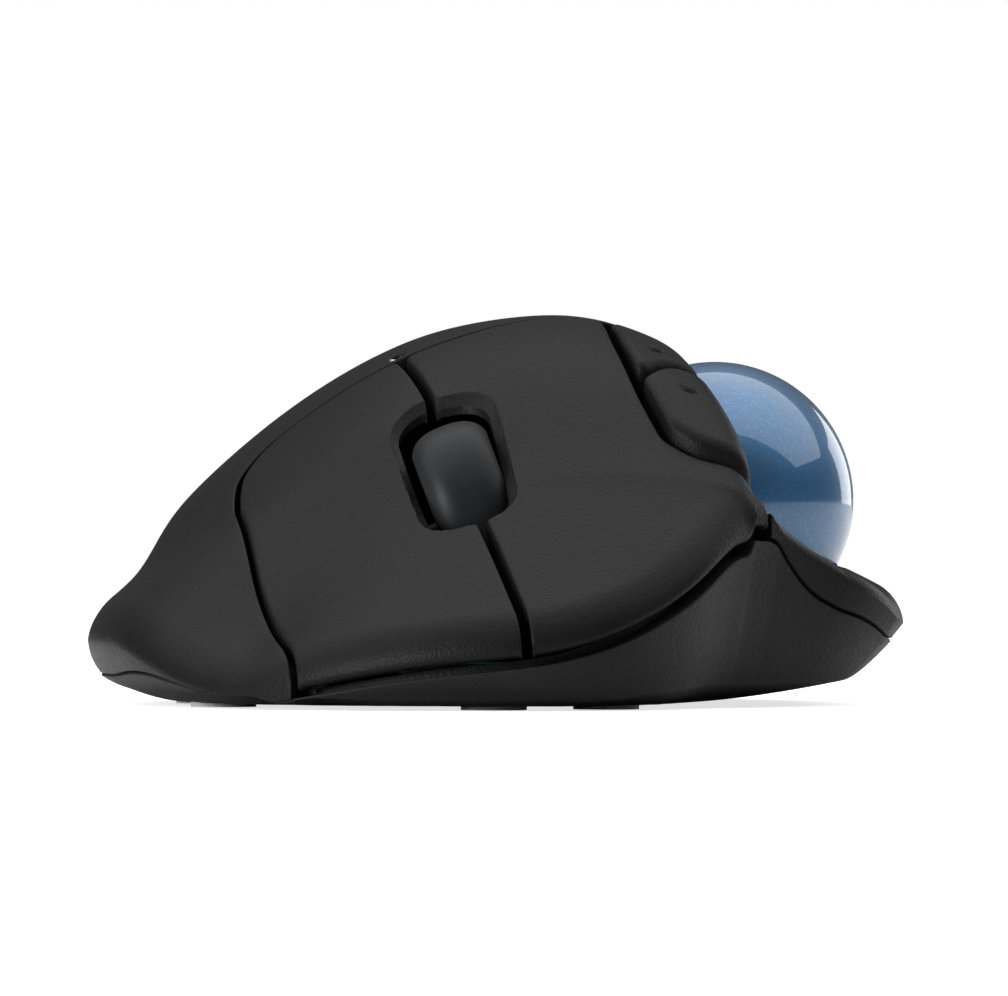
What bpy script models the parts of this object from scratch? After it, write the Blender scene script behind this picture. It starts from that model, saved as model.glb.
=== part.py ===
"""Wireless thumb-operated trackball mouse.

X points to the thumb side, where the ball is. The keys face -Y and the palm rest is at +Y.
Z is up, and the feet stand on z = 0. Dimensions below are millimetres.
"""
import bmesh
import bpy
import numpy as np
from mathutils import Matrix, Vector

MM = 0.001
GAP = 0.3                      # clearance between neighbouring pieces
PRESS = 0.4                    # travel of the thumb buttons

# ---- outer skin ------------------------------------------------------------------------
# plan outline of the widest line, walked from the nose along the little-finger side
OUTLINE = [(6.3, -66.6), (-10.5, -62.7), (-26, -53), (-39.1, -37), (-47, -16), (-50, 6), (-48, 28),
           (-38.5, 49), (-20, 63), (4, 67), (26, 61), (40, 46), (47, 24), (49.6, 4), (49.9, -10),
           (45.7, -22), (38.8, -29.6), (31.1, -40.3), (25.7, -51.5), (17.6, -61.4)]
# plan outline of the flat underside, walked the same way
BASE = [(8.4, -62.5), (-9.4, -59.5), (-23.9, -51), (-35.9, -35.5), (-43, -16), (-45, 6), (-43, 27),
        (-34, 46), (-18, 58.5), (4, 62), (24, 56.5), (36.5, 43), (42, 23), (42.8, 4), (42.3, -9),
        (39.1, -20), (33.2, -30), (26.8, -39), (22.8, -49), (15.7, -58)]
# flat middle of the underside, walked the same way
FLAT = [(6, -56), (-8, -54), (-21, -47), (-32, -32), (-37.5, -14), (-39.5, 6), (-38, 24), (-29, 41),
        (-15, 52.5), (3, 56), (16, 50.5), (22, 38), (24, 22), (24.5, 5), (24.5, -8), (23.5, -18),
        (22, -27), (20.5, -35), (18, -44), (12.5, -52)]
STATIONS = [-67, -50, -35, -20, -6, 8, 25, 42, 58, 67]               # y of each section
CREST = [10.7, 21.5, 30.7, 40, 46, 47.8, 44.5, 34.5, 18, 6]      # its highest z
CREST_X = [12.6, 13.5, 12.8, 11.2, 9, 7, 4, 2, 2, 2]                       # where that is
FALL_LEFT = [.0090, .0096, .0112, .0117, .0117, .0116, .0116, .0116, .0116, .0112]
FALL_RIGHT = [.007, .006, .008, .012, .016, .022, .022, .016, .013, .011]
STEP_X = [30.5, 30.7, 31.2, 28.2, 24.1, 23.6, 28, 34, 45, 50]            # thumb-side step
STEP_FALL = [3.2, 3.2, 3.2, 3.2, 2.4, 1.5, .8, .4, 0, 0]
WING_Y = [-67, -47, -42, -39, -36, -33, -25, -13, -5]                # thumb rim, by y
WING_RISE = [-14, -9, 5, 12.4, 12.5, 9.9, 4.8, .6, 0]               # and its rise
HUB = np.array([4.0, -1.0])    # the rings of the skin shrink towards this point
WALL = 2.0                     # shell and case wall
LIP = 3.0                      # radius of the rounded rim
SIDES = 68                     # points round each ring

# ---- plan outlines of the pieces cut from the skin: (x, y, corner radius) --------------
RIGHT_KEY = [(4.2, -70, 0), (-12, -3.4, 0.8), (-30.4, -2.6, 5), (-31.9, -11, 30),
             (-28.3, -33, 120), (-23.2, -57, 40), (-20.1, -72, 0)]
LEFT_KEY = [(5.5, -70, 0), (-10.9, -3.4, 0.8), (-4, -2.6, 30), (5.7, 1.4, 40), (13, 3.6, 0.8),
            (14.3, -9, 60), (17.4, -22.5, 60), (20.5, -31.2, 3.5), (24.9, -34.4, 6),
            (32.2, -33.2, 0.8), (34, -39, 0), (40.1, -72, 0)]
KEY_BAY = [(5.3, -71, 0), (40.8, -73, 0), (34.6, -39, 0), (32.8, -32.6, 0.8), (26.5, -24, 0),
           (14, 0, 0), (13.6, 4.3, 0.8), (5.5, 2, 40), (-4.1, -2, 30), (-11.4, -2.8, 10),
           (-31.1, -1.9, 5.6), (-32.6, -11, 30), (-29, -33, 120), (-23.9, -57, 40),
           (-21.1, -73, 0)]
WHEEL_SLOT = [(-13.9, -17.6, 4.5), (-0.2, -19.2, 6), (3.7, -45.2, 4.5), (-8.1, -43.8, 6)]
FORWARD = [(18.2, -20.9, 1), (21.3, -30.3, 3.2), (25.1, -33, 6), (31.3, -32.2, 2.2), (31, -26, 10),
           (26.4, -15.2, 1), (21.1, -16, 6)]
BACK = [(17.8, -19.8, 1), (15.4, -9, 60), (14.4, 4, 2.5), (21, 4.2, 3), (23, -1, 15),
        (24.3, -7, 30), (25.8, -13.8, 1), (20.4, -14.8, 6)]
BUTTON_BAY = [(13, 4.8, 1), (14.1, -9, 60), (17.2, -22.5, 60), (20.2, -31.6, 3.5), (24.6, -35, 6),
              (32.2, -33.6, 1.5), (31.6, -25.6, 10), (27.2, -12, 20), (24, 1, 15), (21.6, 4.8, 3)]

# ---- ball and its cup ------------------------------------------------------------------
BALL = np.array([27.1, -4.0, 25.1])
BALL_R = 17.0
CUP_IN, CUP_OUT = 17.6, 19.2
OPEN_AXIS = (.78, 0, .62)      # the ball shows towards the thumb and upwards
CUP_TOP = 1.0                  # height of the cup's edge along that axis
BEARING_R = 1.25
SENSOR_AXIS = (-.50, .62, -.60)
EJECT_R = 5.5

# ---- scroll wheel ----------------------------------------------------------------------
WHEEL = np.array([-2.2, -27.3, 23.3])
WHEEL_ROLL = np.radians(20.5)  # top leans to the little-finger side
WHEEL_R, WHEEL_W = 11.7, 9.6
CARRIAGE_DROP = 14.5

# ---- underside and inside --------------------------------------------------------------
FLOOR = .5                     # underside of the case
FLOOR_TOP = 2.5
BOARD_Z, BOARD_T = 4.4, 1.2
FEET = {"front": (0, -49), "front_thumb": (13.6, -42), "side_front": (-33, -20),
        "side_rear": (-35.2, 12), "thumb": (18.5, 26), "rear": (5, 52.6)}
FOOT_R = 4.0
CASE_SCREWS = {"1": (-33, -20), "2": (-35.2, 12), "3": (18.5, 26), "4": (5, 52.6)}
BOARD_SCREWS = {"1": (-19.4, -29.5), "2": (13, -35.5), "3": (12.8, -12)}
BATTERY = (-7.5, 21.75, 10.35)
BATTERY_R, BATTERY_L = 7.15, 50.5
DOOR = [(-28, -6.5, 3), (4, -6.5, 3), (4, 47.7, 7), (-28, 47.7, 9)]
SLIDER = (-12, -16)
SLIDER_TRAVEL = 3.0
CONNECT = (8, -22)


# ---- curves and the height of the skin -------------------------------------------------
def spline(knots, values, at):
    """Natural cubic through the knots; values may be numbers or points."""
    x, y = np.asarray(knots, float), np.asarray(values, float)
    n, h = len(x), np.diff(x)
    a, b = np.eye(n), np.zeros((n,) + y.shape[1:])
    for i in range(1, n - 1):
        a[i, i - 1:i + 2] = h[i - 1], 2 * (h[i - 1] + h[i]), h[i]
        b[i] = 6 * ((y[i + 1] - y[i]) / h[i] - (y[i] - y[i - 1]) / h[i - 1])
    m = np.linalg.solve(a, b)
    at = np.clip(np.asarray(at, float), x[0], x[-1])
    k = np.clip(np.searchsorted(x, at) - 1, 0, n - 2)
    wide = (slice(None),) * at.ndim + (None,) * (y.ndim - 1)
    t0, t1, hk = (at - x[k])[wide], (x[k + 1] - at)[wide], h[k][wide]
    return ((m[k] * t1**3 + m[k + 1] * t0**3) / (6 * hk)
            + (y[k] / hk - m[k] * hk / 6) * t1 + (y[k + 1] / hk - m[k + 1] * hk / 6) * t0)


def smooth_loop(points, count):
    """Closed smooth curve through the points."""
    p = np.asarray(points, float)
    q = np.concatenate([p[-3:], p, p[:4]])
    s = np.concatenate([[0], np.cumsum(np.linalg.norm(np.diff(q, axis=0), axis=1) ** 0.5)])
    return spline(s, q, np.linspace(s[3], s[3 + len(p)], count, endpoint=False))


def ease(t):
    t = np.clip(t, 0, 1)
    return t * t * (3 - 2 * t)


def rim_distance(x, y):
    """Distance in plan from each point to the rim outline."""
    p = np.stack([x, y], -1)[..., None, :]
    a, b = RIM, np.roll(RIM, -1, axis=0)
    t = np.clip(((p - a) * (b - a)).sum(-1) / ((b - a) ** 2).sum(-1), 0, 1)
    return np.linalg.norm(p - a - t[..., None] * (b - a), axis=-1).min(-1)


def skin_height(x, y):
    """Height of the skin: a crest with parabolic sides, a thumb-side step and a flared rim."""
    crest, cx, left, right, step_x, fall = (
        spline(STATIONS, v, y) for v in (CREST, CREST_X, FALL_LEFT, FALL_RIGHT, STEP_X, STEP_FALL))
    s = x - cx
    crown = crest - (left + (right - left) / (1 + np.exp(-s / 3))) * s * s
    crown = crown - fall * np.logaddexp(0, x - step_x)
    d = rim_distance(x, y)
    thumb = 1 / (1 + np.exp(-x / 4))
    front, wing, rear = ease((-y - 15) / 38), ease((-y - 4) / 16), ease((y - 25) / 38)
    flare = ((10.6 - 6.6 * front + (.78 - .45 * front) * d) * (1 - thumb)
             + (13 + np.interp(y, WING_Y, WING_RISE)
                + (.62 - .66 * wing) * d - .012 * d * d * (1 - wing)) * thumb)
    flare = flare - 4.5 * rear - .3 * rear * d
    foot = 1.68 * np.logaddexp(0, (9 - d) / 1.2) * (1 - rear) * (1 - thumb) * (1 - front)
    blend = 2.5 + 7 * ease((y - 8) / 25) * thumb
    a = crown - foot
    return .5 * (a + flare + np.sqrt((a - flare) ** 2 + blend ** 2))


def lip_drop(d):
    return LIP - np.sqrt(np.maximum(LIP ** 2 - (LIP - np.minimum(d, LIP)) ** 2, 0))


def offset_loop(loop, amount):
    """Moves a loop inwards (towards the hub) by the amount, square to itself."""
    t = np.roll(loop, -1, axis=0) - np.roll(loop, 1, axis=0)
    n = np.stack([-t[:, 1], t[:, 0]], -1) / np.linalg.norm(t, axis=1)[:, None]
    n *= np.sign(((HUB - loop) * n).sum(1).mean())
    return loop + amount * n


RIM = smooth_loop(OUTLINE, SIDES)
RIM_Z = skin_height(RIM[:, 0], RIM[:, 1]) - LIP


def rounded(corners, step=1.2):
    """Plan polygon with its corners rounded to the radius given with each."""
    out = []
    for i, (x, y, r) in enumerate(corners):
        p = np.array([x, y], float)
        u = np.array(corners[i - 1][:2]) - p
        v = np.array(corners[(i + 1) % len(corners)][:2]) - p
        room = .49 * min(np.linalg.norm(u), np.linalg.norm(v))
        u, v = u / np.linalg.norm(u), v / np.linalg.norm(v)
        half = np.arccos(np.clip(u @ v, -1, 1)) / 2
        t = min(r / np.tan(half), room)
        r = t * np.tan(half)
        if r < .05:
            out.append(p)
            continue
        c = p + (u + v) / np.linalg.norm(u + v) * (r / np.sin(half))
        a0, a1 = (np.arctan2(*(p + w * t - c)[::-1]) for w in (u, v))
        turn = (a1 - a0 + np.pi) % (2 * np.pi) - np.pi
        for k in np.linspace(0, 1, max(2, int(abs(turn) * r / step) + 1)):
            out.append(c + r * np.array([np.cos(a0 + turn * k), np.sin(a0 + turn * k)]))
    return np.array(out)


# ---- building tools --------------------------------------------------------------------
for old in list(bpy.data.objects):
    bpy.data.objects.remove(old, do_unlink=True)
PARTS = bpy.data.collections.new("trackball_mouse")
bpy.context.scene.collection.children.link(PARTS)


def from_mesh(mesh, name="piece"):
    obj = bpy.data.objects.new(name, mesh)
    PARTS.objects.link(obj)
    return obj


def from_bmesh(bm):
    bmesh.ops.recalc_face_normals(bm, faces=bm.faces)
    if bm.calc_volume(signed=True) < 0:
        bmesh.ops.reverse_faces(bm, faces=bm.faces)
    mesh = bpy.data.meshes.new("piece")
    bm.to_mesh(mesh)
    bm.free()
    return from_mesh(mesh)


def apply_modifiers(obj):
    bpy.context.view_layer.update()
    made = obj.evaluated_get(bpy.context.evaluated_depsgraph_get())
    mesh, old = bpy.data.meshes.new_from_object(made), obj.data
    obj.modifiers.clear()
    obj.data = mesh
    bpy.data.meshes.remove(old)
    return obj


def place(bm, matrix):
    bm.transform(Matrix.Diagonal((MM, MM, MM, 1)) @ (matrix or Matrix()))
    return from_bmesh(bm)


def box(x0, x1, y0, y1, z0, z1, matrix=None, bevel=0):
    bm = bmesh.new()
    bmesh.ops.create_cube(bm, size=1)
    size = (abs(x1 - x0), abs(y1 - y0), abs(z1 - z0))
    bm.transform(Matrix.Translation(((x0 + x1) / 2, (y0 + y1) / 2, (z0 + z1) / 2))
                 @ Matrix.Diagonal((*size, 1)))
    if bevel:
        bmesh.ops.bevel(bm, geom=bm.edges[:], offset=bevel, segments=1, affect='EDGES')
    return place(bm, matrix)


def rod(x, y, z0, z1, r, sides=24, matrix=None, top=None):
    """Upright round bar; top gives another radius for a cone."""
    bm = bmesh.new()
    bmesh.ops.create_cone(bm, cap_ends=True, segments=sides, radius1=r,
                          radius2=r if top is None else top, depth=z1 - z0)
    bm.transform(Matrix.Translation((x, y, (z0 + z1) / 2)))
    return place(bm, matrix)


def sphere(centre, r, rings=24):
    bm = bmesh.new()
    bmesh.ops.create_uvsphere(bm, u_segments=2 * rings, v_segments=rings, radius=r)
    return place(bm, Matrix.Translation(centre))


def turned(profile, steps=48, matrix=None, close=True):
    """Revolves a profile of (radius, height) round Z with the Screw modifier."""
    mesh = bpy.data.meshes.new("profile")
    n = len(profile)
    edges = [(i, (i + 1) % n) for i in range(n if close else n - 1)]
    mesh.from_pydata([(r, 0, z) for r, z in profile], edges, [])
    obj = from_mesh(mesh)
    screw = obj.modifiers.new("turn", 'SCREW')
    screw.steps = screw.render_steps = steps
    screw.use_merge_vertices, screw.merge_threshold = True, .0001
    apply_modifiers(obj)
    bm = bmesh.new()
    bm.from_mesh(obj.data)
    bpy.data.objects.remove(obj)
    return place(bm, matrix)


def prism(corners, z0, z1):
    """Flat outline extruded between two heights."""
    curve = bpy.data.curves.new("outline", 'CURVE')
    curve.dimensions, curve.fill_mode, curve.extrude = '2D', 'BOTH', (z1 - z0) / 2 * MM
    points = rounded(corners)
    line = curve.splines.new('POLY')
    line.points.add(len(points) - 1)
    line.points.foreach_set("co", np.column_stack(
        [points * MM, np.zeros(len(points)), np.ones(len(points))]).ravel())
    line.use_cyclic_u = True
    obj = bpy.data.objects.new("outline", curve)
    PARTS.objects.link(obj)
    bpy.context.view_layer.update()
    mesh = bpy.data.meshes.new_from_object(obj.evaluated_get(bpy.context.evaluated_depsgraph_get()))
    bpy.data.objects.remove(obj)
    bm = bmesh.new()
    bm.from_mesh(mesh)
    bmesh.ops.remove_doubles(bm, verts=bm.verts, dist=1e-7)
    bm.transform(Matrix.Translation((0, 0, (z0 + z1) / 2 * MM)))
    return from_bmesh(bm)


def loft(rings):
    """Closed solid through rings of equal point count, each end closed to its middle."""
    n = len(rings[0])
    points = np.concatenate(list(rings) + [[rings[0].mean(0)], [rings[-1].mean(0)]])
    faces = []
    for k in range(len(rings) - 1):
        a, b = k * n, (k + 1) * n
        faces += [(a + i, a + (i + 1) % n, b + (i + 1) % n, b + i) for i in range(n)]
    last, end = (len(rings) - 1) * n, len(rings) * n
    faces += [(end, (i + 1) % n, i) for i in range(n)]
    faces += [(end + 1, last + i, last + (i + 1) % n) for i in range(n)]
    mesh = bpy.data.meshes.new("loft")
    mesh.from_pydata((points * MM).tolist(), [], faces)
    bm = bmesh.new()
    bm.from_mesh(mesh)
    bmesh.ops.triangulate(bm, faces=bm.faces[:])
    return from_bmesh(bm)


def combine(kind, target, *tools, keep=False):
    for tool in tools:
        step = target.modifiers.new(kind, 'BOOLEAN')
        step.operation, step.solver, step.object = kind, 'EXACT', tool
        apply_modifiers(target)
        if not keep:
            bpy.data.objects.remove(tool)
    return target


def cut(target, *tools, keep=False):
    return combine('DIFFERENCE', target, *tools, keep=keep)


def join(target, *tools):
    return combine('UNION', target, *tools)


def common(target, *tools):
    return combine('INTERSECT', target, *tools)


def largest_body(obj):
    """Drops the loose slivers that a cut along a slanting edge can leave."""
    bm = bmesh.new()
    bm.from_mesh(obj.data)
    left, bodies = set(bm.verts), []
    while left:
        seed, body = [left.pop()], []
        while seed:
            v = seed.pop()
            body.append(v)
            for w in (e.other_vert(v) for e in v.link_edges):
                if w in left:
                    left.remove(w)
                    seed.append(w)
        bodies.append(body)
    bodies.sort(key=len, reverse=True)
    bmesh.ops.delete(bm, geom=[v for body in bodies[1:] for v in body], context='VERTS')
    bm.to_mesh(obj.data)
    bm.free()
    return obj


def copy_of(obj):
    return from_mesh(obj.data.copy())


def aim(centre, axis, up=(0, 1, 0)):
    """Frame at a point whose Z runs along the axis."""
    z = Vector(axis).normalized()
    x = Vector(up).cross(z).normalized()
    y = z.cross(x)
    return Matrix.Translation(centre) @ Matrix((x, y, z)).transposed().to_4x4()


def finish(obj, name, colour, roughness=.5, metallic=0.0, origin=None):
    """Names the node, gives it its material and puts its origin on its joint axis."""
    obj.name = obj.data.name = name
    made = bpy.data.materials.new(name)
    made.use_nodes = True
    shader = made.node_tree.nodes["Principled BSDF"]
    shader.inputs["Base Color"].default_value = (*colour, 1)
    shader.inputs["Roughness"].default_value = roughness
    shader.inputs["Metallic"].default_value = metallic
    obj.data.materials.clear()
    obj.data.materials.append(made)
    if origin is not None:
        shift = Vector(origin) * MM
        obj.data.transform(Matrix.Translation(-shift))
        obj.location = shift
    return obj


BLACK, GREY, RUBBER = (.022, .022, .023), (.09, .09, .095), (.028, .029, .031)
METAL, GREEN, BLUE = (.62, .62, .60), (.02, .12, .06), (.045, .16, .36)


# ---- skin pieces -----------------------------------------------------------------------
def ring(loop, z):
    return np.column_stack([loop, z])


def dome():
    """The whole hollow top before it is parted: rim, crest, then back inside."""
    spread = [.985, .95, .89, .81, .72, .62, .51, .39, .27, .16, .07]
    outer, inner = [ring(RIM, RIM_Z)], [ring(offset_loop(RIM, WALL), RIM_Z)]
    for t in spread:
        loop = HUB + t * (RIM - HUB)
        x, y = loop.T
        z = skin_height(x, y) - lip_drop(rim_distance(x, y))
        outer.append(ring(loop, z))
        if t < .93:
            inner.append(ring(loop, z - WALL))
    return loft(outer[::-1] + inner)


def sphere_cut(r):
    return sphere(BALL, r, 20)


def arc(r, top, count=14):
    """Profile of a ball of radius r from its pole up to the height given."""
    a = np.linspace(-np.pi / 2, np.arcsin(top / r), count)
    return [(0, -r)] + [(r * np.cos(t), r * np.sin(t)) for t in a[1:]]


def cup_zone(r, top):
    """Solid ball of radius r round the ball's centre, kept below the cup's edge plane."""
    return turned(arc(r, top) + [(0, top)], 44, aim(BALL, OPEN_AXIS), close=False)


def post(x, y, z0, r, depth=.6):
    """Post under the skin, ending inside the skin's wall."""
    a = np.linspace(0, 2 * np.pi, 16, endpoint=False)
    low = float(skin_height(x + r * np.cos(a), y + r * np.sin(a)).min()) - depth
    return rod(x, y, z0, low, r)


def shell_and_keys():
    whole = dome()
    keys = {}
    for name, outline in (("right", RIGHT_KEY), ("left", LEFT_KEY)):
        key = common(copy_of(whole), prism(outline, -5, 60))
        cut(key, prism(WHEEL_SLOT, -5, 60))
        keys[name] = key
    shell = cut(whole, prism(KEY_BAY, -5, 60), prism(BUTTON_BAY, -5, 60), sphere_cut(CUP_IN),
                cup_zone(CUP_OUT + GAP, CUP_TOP + GAP))
    shell = largest_body(shell)
    for x, y in CASE_SCREWS.values():
        join(shell, post(x, y, 5.8, 3))
        cut(shell, rod(x, y, 5, 11.8, 1.4, 16))
    join(shell, post(5.5, 6.5, 36.5, 2.4))
    cut(shell, rod(5.5, 6.5, 36, 41, 1.1, 16), rod(-11.9, -.9, 30, 60, 1.2, 16))
    left, right = keys["left"], keys["right"]
    cut(left, sphere_cut(CUP_IN), cup_zone(CUP_OUT + GAP, CUP_TOP + GAP))
    join(left, box(7.0, 10.0, -46.9, -43.9, 13.35, 21.5))
    join(right, box(-15.5, -12.5, -42, -39, 13.35, 18.4))
    finish(largest_body(shell), "top_shell", BLACK, .55)
    finish(largest_body(left), "left_key", BLACK, .55, origin=(9, -1, 41))
    finish(largest_body(right), "right_key", BLACK, .55, origin=(-20, -3, 38))


def button_body(outline, depth, back_rise, front_rise):
    """Capped button following the skin, standing proud by a rise that grows forwards."""
    edge = rounded(outline, 1.6)
    middle = edge.mean(0)

    def at(scale, lower):
        loop = middle + scale * (edge - middle)
        t = ease((4 - loop[:, 1]) / 34)
        z = skin_height(*loop.T) + back_rise + (front_rise - back_rise) * t
        return ring(loop, z - lower)
    rings = [at(.55, 0), at(.9, .05), at(1, .7), at(1, depth), at(.55, depth)]
    return cut(loft(rings), sphere_cut(CUP_IN))


def side_buttons():
    forward = button_body(FORWARD, 5.5, .1, 1.9)
    join(forward, box(18.4 + 1.4, 21.4 + 1.4, -28.5, -25.5, 29.9, 33.5))
    back = button_body(BACK, 3.6, .1, 1.9)
    join(back, box(6.2, 17.0, -8, -4.5, 40.6, 42.2))
    clear = PRESS + GAP
    for button, name, origin in ((forward, "forward_button", (23, -24, 35)),
                                 (back, "back_button", (19, -6, 41))):
        cut(button, cup_zone(CUP_OUT + clear, CUP_TOP + clear))
        finish(largest_body(button), name, BLACK, .5, origin=origin)


# ---- ball ------------------------------------------------------------------------------
def ball_and_cup():
    finish(sphere(BALL, BALL_R, 20), "trackball", BLUE, .12, origin=BALL)
    frame = aim(BALL, OPEN_AXIS)
    cup = turned(arc(CUP_OUT, CUP_TOP) + arc(CUP_IN, CUP_TOP)[::-1], 44, frame, close=False)
    cut(cup, rod(BALL[0], BALL[1], 0, 12, EJECT_R - .5))
    sensor = aim(BALL, SENSOR_AXIS)
    cut(cup, rod(0, 0, 10, 25, 2.9, matrix=sensor))
    tilt = np.radians(-20)
    for k in range(3):
        turn = np.radians(120 * k + 75)
        way = frame.to_3x3() @ Vector((np.cos(turn) * np.cos(tilt), np.sin(turn) * np.cos(tilt),
                                       np.sin(tilt)))
        centre = BALL + (BALL_R + GAP + BEARING_R) * np.array(way)
        cut(cup, rod(0, 0, 10, 25, BEARING_R + GAP, 16, aim(BALL, way)))
        finish(sphere(centre, BEARING_R, 8), f"bearing_ball_{k + 1}", (.75, .72, .66), .15)
    finish(largest_body(cup), "ball_socket", GREY, .35)
    finish(rod(0, 0, 18.2, 20.6, 2.4, matrix=sensor), "sensor_lens", (.6, .62, .62), .1)
    finish(box(-4, 4, -4, 4, 20.9, 23.1, sensor), "optical_sensor", (.02, .02, .02), .4)
    finish(box(-7, 7, -7, 7, 23.4, 24.4, sensor), "sensor_board", GREEN, .45)


# ---- wheel -----------------------------------------------------------------------------
def wheel_frame():
    """X along the axle, Z up through the wheel."""
    return Matrix.Translation(WHEEL) @ Matrix.Rotation(-WHEEL_ROLL, 4, 'Y')


def wheel():
    frame = wheel_frame()
    spin = frame @ Matrix.Rotation(np.pi / 2, 4, 'Y')
    w, r = WHEEL_W / 2, WHEEL_R
    tyre = [(9.4, w), (r - 1.9, w), (r - .9, w - .5), (r - .35, w - 1.6), (r, 0),
            (r - .35, -w + 1.6), (r - .9, -w + .5), (r - 1.9, -w), (9.4, -w)]
    finish(turned(tyre, 56, spin), "wheel_tyre", RUBBER, .5, origin=WHEEL)
    hub = [(1.3, 3.4), (3, 3.4), (3, 1.6), (7.6, 1.6), (7.6, 4.2), (9.1, 4.2), (9.1, -4.2),
           (7.6, -4.2), (7.6, -1.6), (3, -1.6), (3, -3.4), (1.3, -3.4)]
    finish(turned(hub, 40, spin), "wheel_hub", GREY, .4, origin=WHEEL)
    finish(rod(0, 0, -8.6, 10.4, 1.0, 20, spin), "wheel_axle", METAL, .25, 1.0, origin=WHEEL)
    low = -CARRIAGE_DROP
    carriage = cut(box(-7.65, 7.65, -5, 5, low, 2.6, frame),
                   box(-6.15, 6.15, -6, 6, low + 1.5, 4, frame))
    join(carriage, box(-3, 3, 4, 14, low + .1, low + 1.4, frame))
    cut(carriage, rod(0, 0, -12, 12, 1.3, 20, spin))
    finish(carriage, "wheel_carriage", GREY, .5)
    encoder = box(7.95, 11.0, -4, 4, -6, 2.5, frame)
    cut(encoder, rod(0, 0, 5, 12, 1.3, 20, spin))
    finish(encoder, "wheel_encoder", (.05, .05, .06), .4)


# ---- case ------------------------------------------------------------------------------
def case_rim_z():
    """Top of the case wall: close under the shell, lower under the key lips."""
    x, y = RIM.T
    keys = ease((x + 29) / 4) * ease((33.5 - x) / 3) * ease((-y - 32) / 4)
    return RIM_Z - .4 - 1.3 * keys


def case_wall(s):
    """Loop and heights of the wall at s, 0 at the rim and 1 where it turns under.

    A quadratic curve in plan shift and drop: it bellies out on the little-finger side and
    runs in at a slant under the thumb wing.
    """
    base, rim_z = smooth_loop(BASE, SIDES), case_rim_z()
    thumb = 1 / (1 + np.exp(-(RIM[:, 0] - 20) / 5))
    pull, fall = .1 + .6 * thumb, .8 + .15 * thumb
    shift = 2 * s * (1 - s) * pull + s * s
    drop = 2 * s * (1 - s) * fall + s * s
    low = 1.3 + .7 * ease((-base[:, 0] - 15) / 20) + 1.7 * ease((base[:, 0] - 12) / 16)
    return RIM + shift[:, None] * (base - RIM), rim_z + drop * (low - rim_z)


def case():
    flat = smooth_loop(FLAT, SIDES)
    outer, inner = [ring(flat, np.full(SIDES, FLOOR))], [ring(flat, np.full(SIDES, FLOOR_TOP))]
    for s in (1, .8, .55, .3, 0):
        loop, z = case_wall(s)
        outer.append(ring(loop, z))
        inner.append(ring(offset_loop(loop, WALL), z + WALL * s))
    body = loft(outer + inner[::-1])
    ball_x, ball_y = BALL[:2]
    seat = rod(ball_x, ball_y, FLOOR_TOP - .5, 6.4, 8.2, 30)
    join(body, seat, box(16.5, 22.9, -30, -24, FLOOR_TOP - .5, 25.3))
    for x, y in CASE_SCREWS.values():
        join(body, rod(x, y, FLOOR_TOP - .5, 5.5, 4))
    for x, y in BOARD_SCREWS.values():
        join(body, rod(x, y, FLOOR_TOP - .5, BOARD_Z - GAP, 2.2))
    join(body, box(-13, -2, -7.6, -5.9, FLOOR_TOP - .5, 15), box(-13, -2, 52.2, 54, FLOOR_TOP - .5, 15))
    cut(body, prism([(x + (GAP if x > -12 else -GAP), y + (GAP if y > 0 else -GAP), r)
                     for x, y, r in DOOR], -1, FLOOR_TOP + .2))
    cut(body, rod(ball_x, ball_y, -1, 12, EJECT_R, 32))
    for x, y in FEET.values():
        cut(body, rod(x, y, 0, FLOOR + .6, FOOT_R + GAP))
    for x, y in CASE_SCREWS.values():
        cut(body, rod(x, y, -1, 2.7, 2.8), rod(x, y, -1, 6, 1.5, 16))
    for x, y in BOARD_SCREWS.values():
        cut(body, rod(x, y, FLOOR_TOP - .4, 6, 1.2, 16))
    sx, sy = SLIDER
    cut(body, box(sx - 3.5, sx + 3.5 + SLIDER_TRAVEL, sy - 2.5, sy + 2.5, -1, 3))
    cut(body, rod(*CONNECT, -1, 3, 2.9))
    finish(largest_body(body), "bottom_case", BLACK, .6)


def underside():
    for name, (x, y) in FEET.items():
        finish(rod(x, y, 0, .8, FOOT_R), f"foot_{name}", (.62, .62, .60), .5)
    for name, (x, y) in CASE_SCREWS.items():
        screw = join(rod(x, y, 1.2, 2.3, 2.4), rod(x, y, 2.2, 11, 1.1, 16))
        cut(screw, box(x - 2, x + 2, y - .3, y + .3, 0, 1.7), box(x - .3, x + .3, y - 2, y + 2, 0, 1.7))
        finish(screw, f"case_screw_{name}", METAL, .3, 1.0)
    door = prism(DOOR, FLOOR, 2.2)
    for y in (-2, 0, 2):
        cut(door, box(-20, -8, 41 + y - .4, 41 + y + .4, 0, FLOOR + .5))
    finish(door, "battery_door", BLACK, .6, origin=(-12, -6.5, .6))
    sx, sy = SLIDER
    knob = join(box(sx - 3.2, sx + 3.2, sy - 2.2, sy + 2.2, .8, 3), box(sx - 7, sx + 7, sy - 3.4, sy + 3.4, 2.8, 3.4))
    finish(knob, "power_slider", (.25, .25, .25), .5, origin=(sx, sy, 1.5))
    press = join(rod(*CONNECT, .7, 3, 2.6), rod(*CONNECT, 2.8, 3.4, 3.6))
    finish(press, "connect_button", (.25, .25, .25), .5, origin=(*CONNECT, 1.5))


# ---- boards, switches and battery ------------------------------------------------------
def switch(name, x, y, z0, size, nub):
    a, b, h = size
    body = box(x - a / 2, x + a / 2, y - b / 2, y + b / 2, z0, z0 + h, bevel=.2)
    join(body, box(x - nub, x + nub, y - nub, y + nub, z0 + h - .3, z0 + h + .6))
    finish(body, name, (.03, .03, .035), .45)


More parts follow.
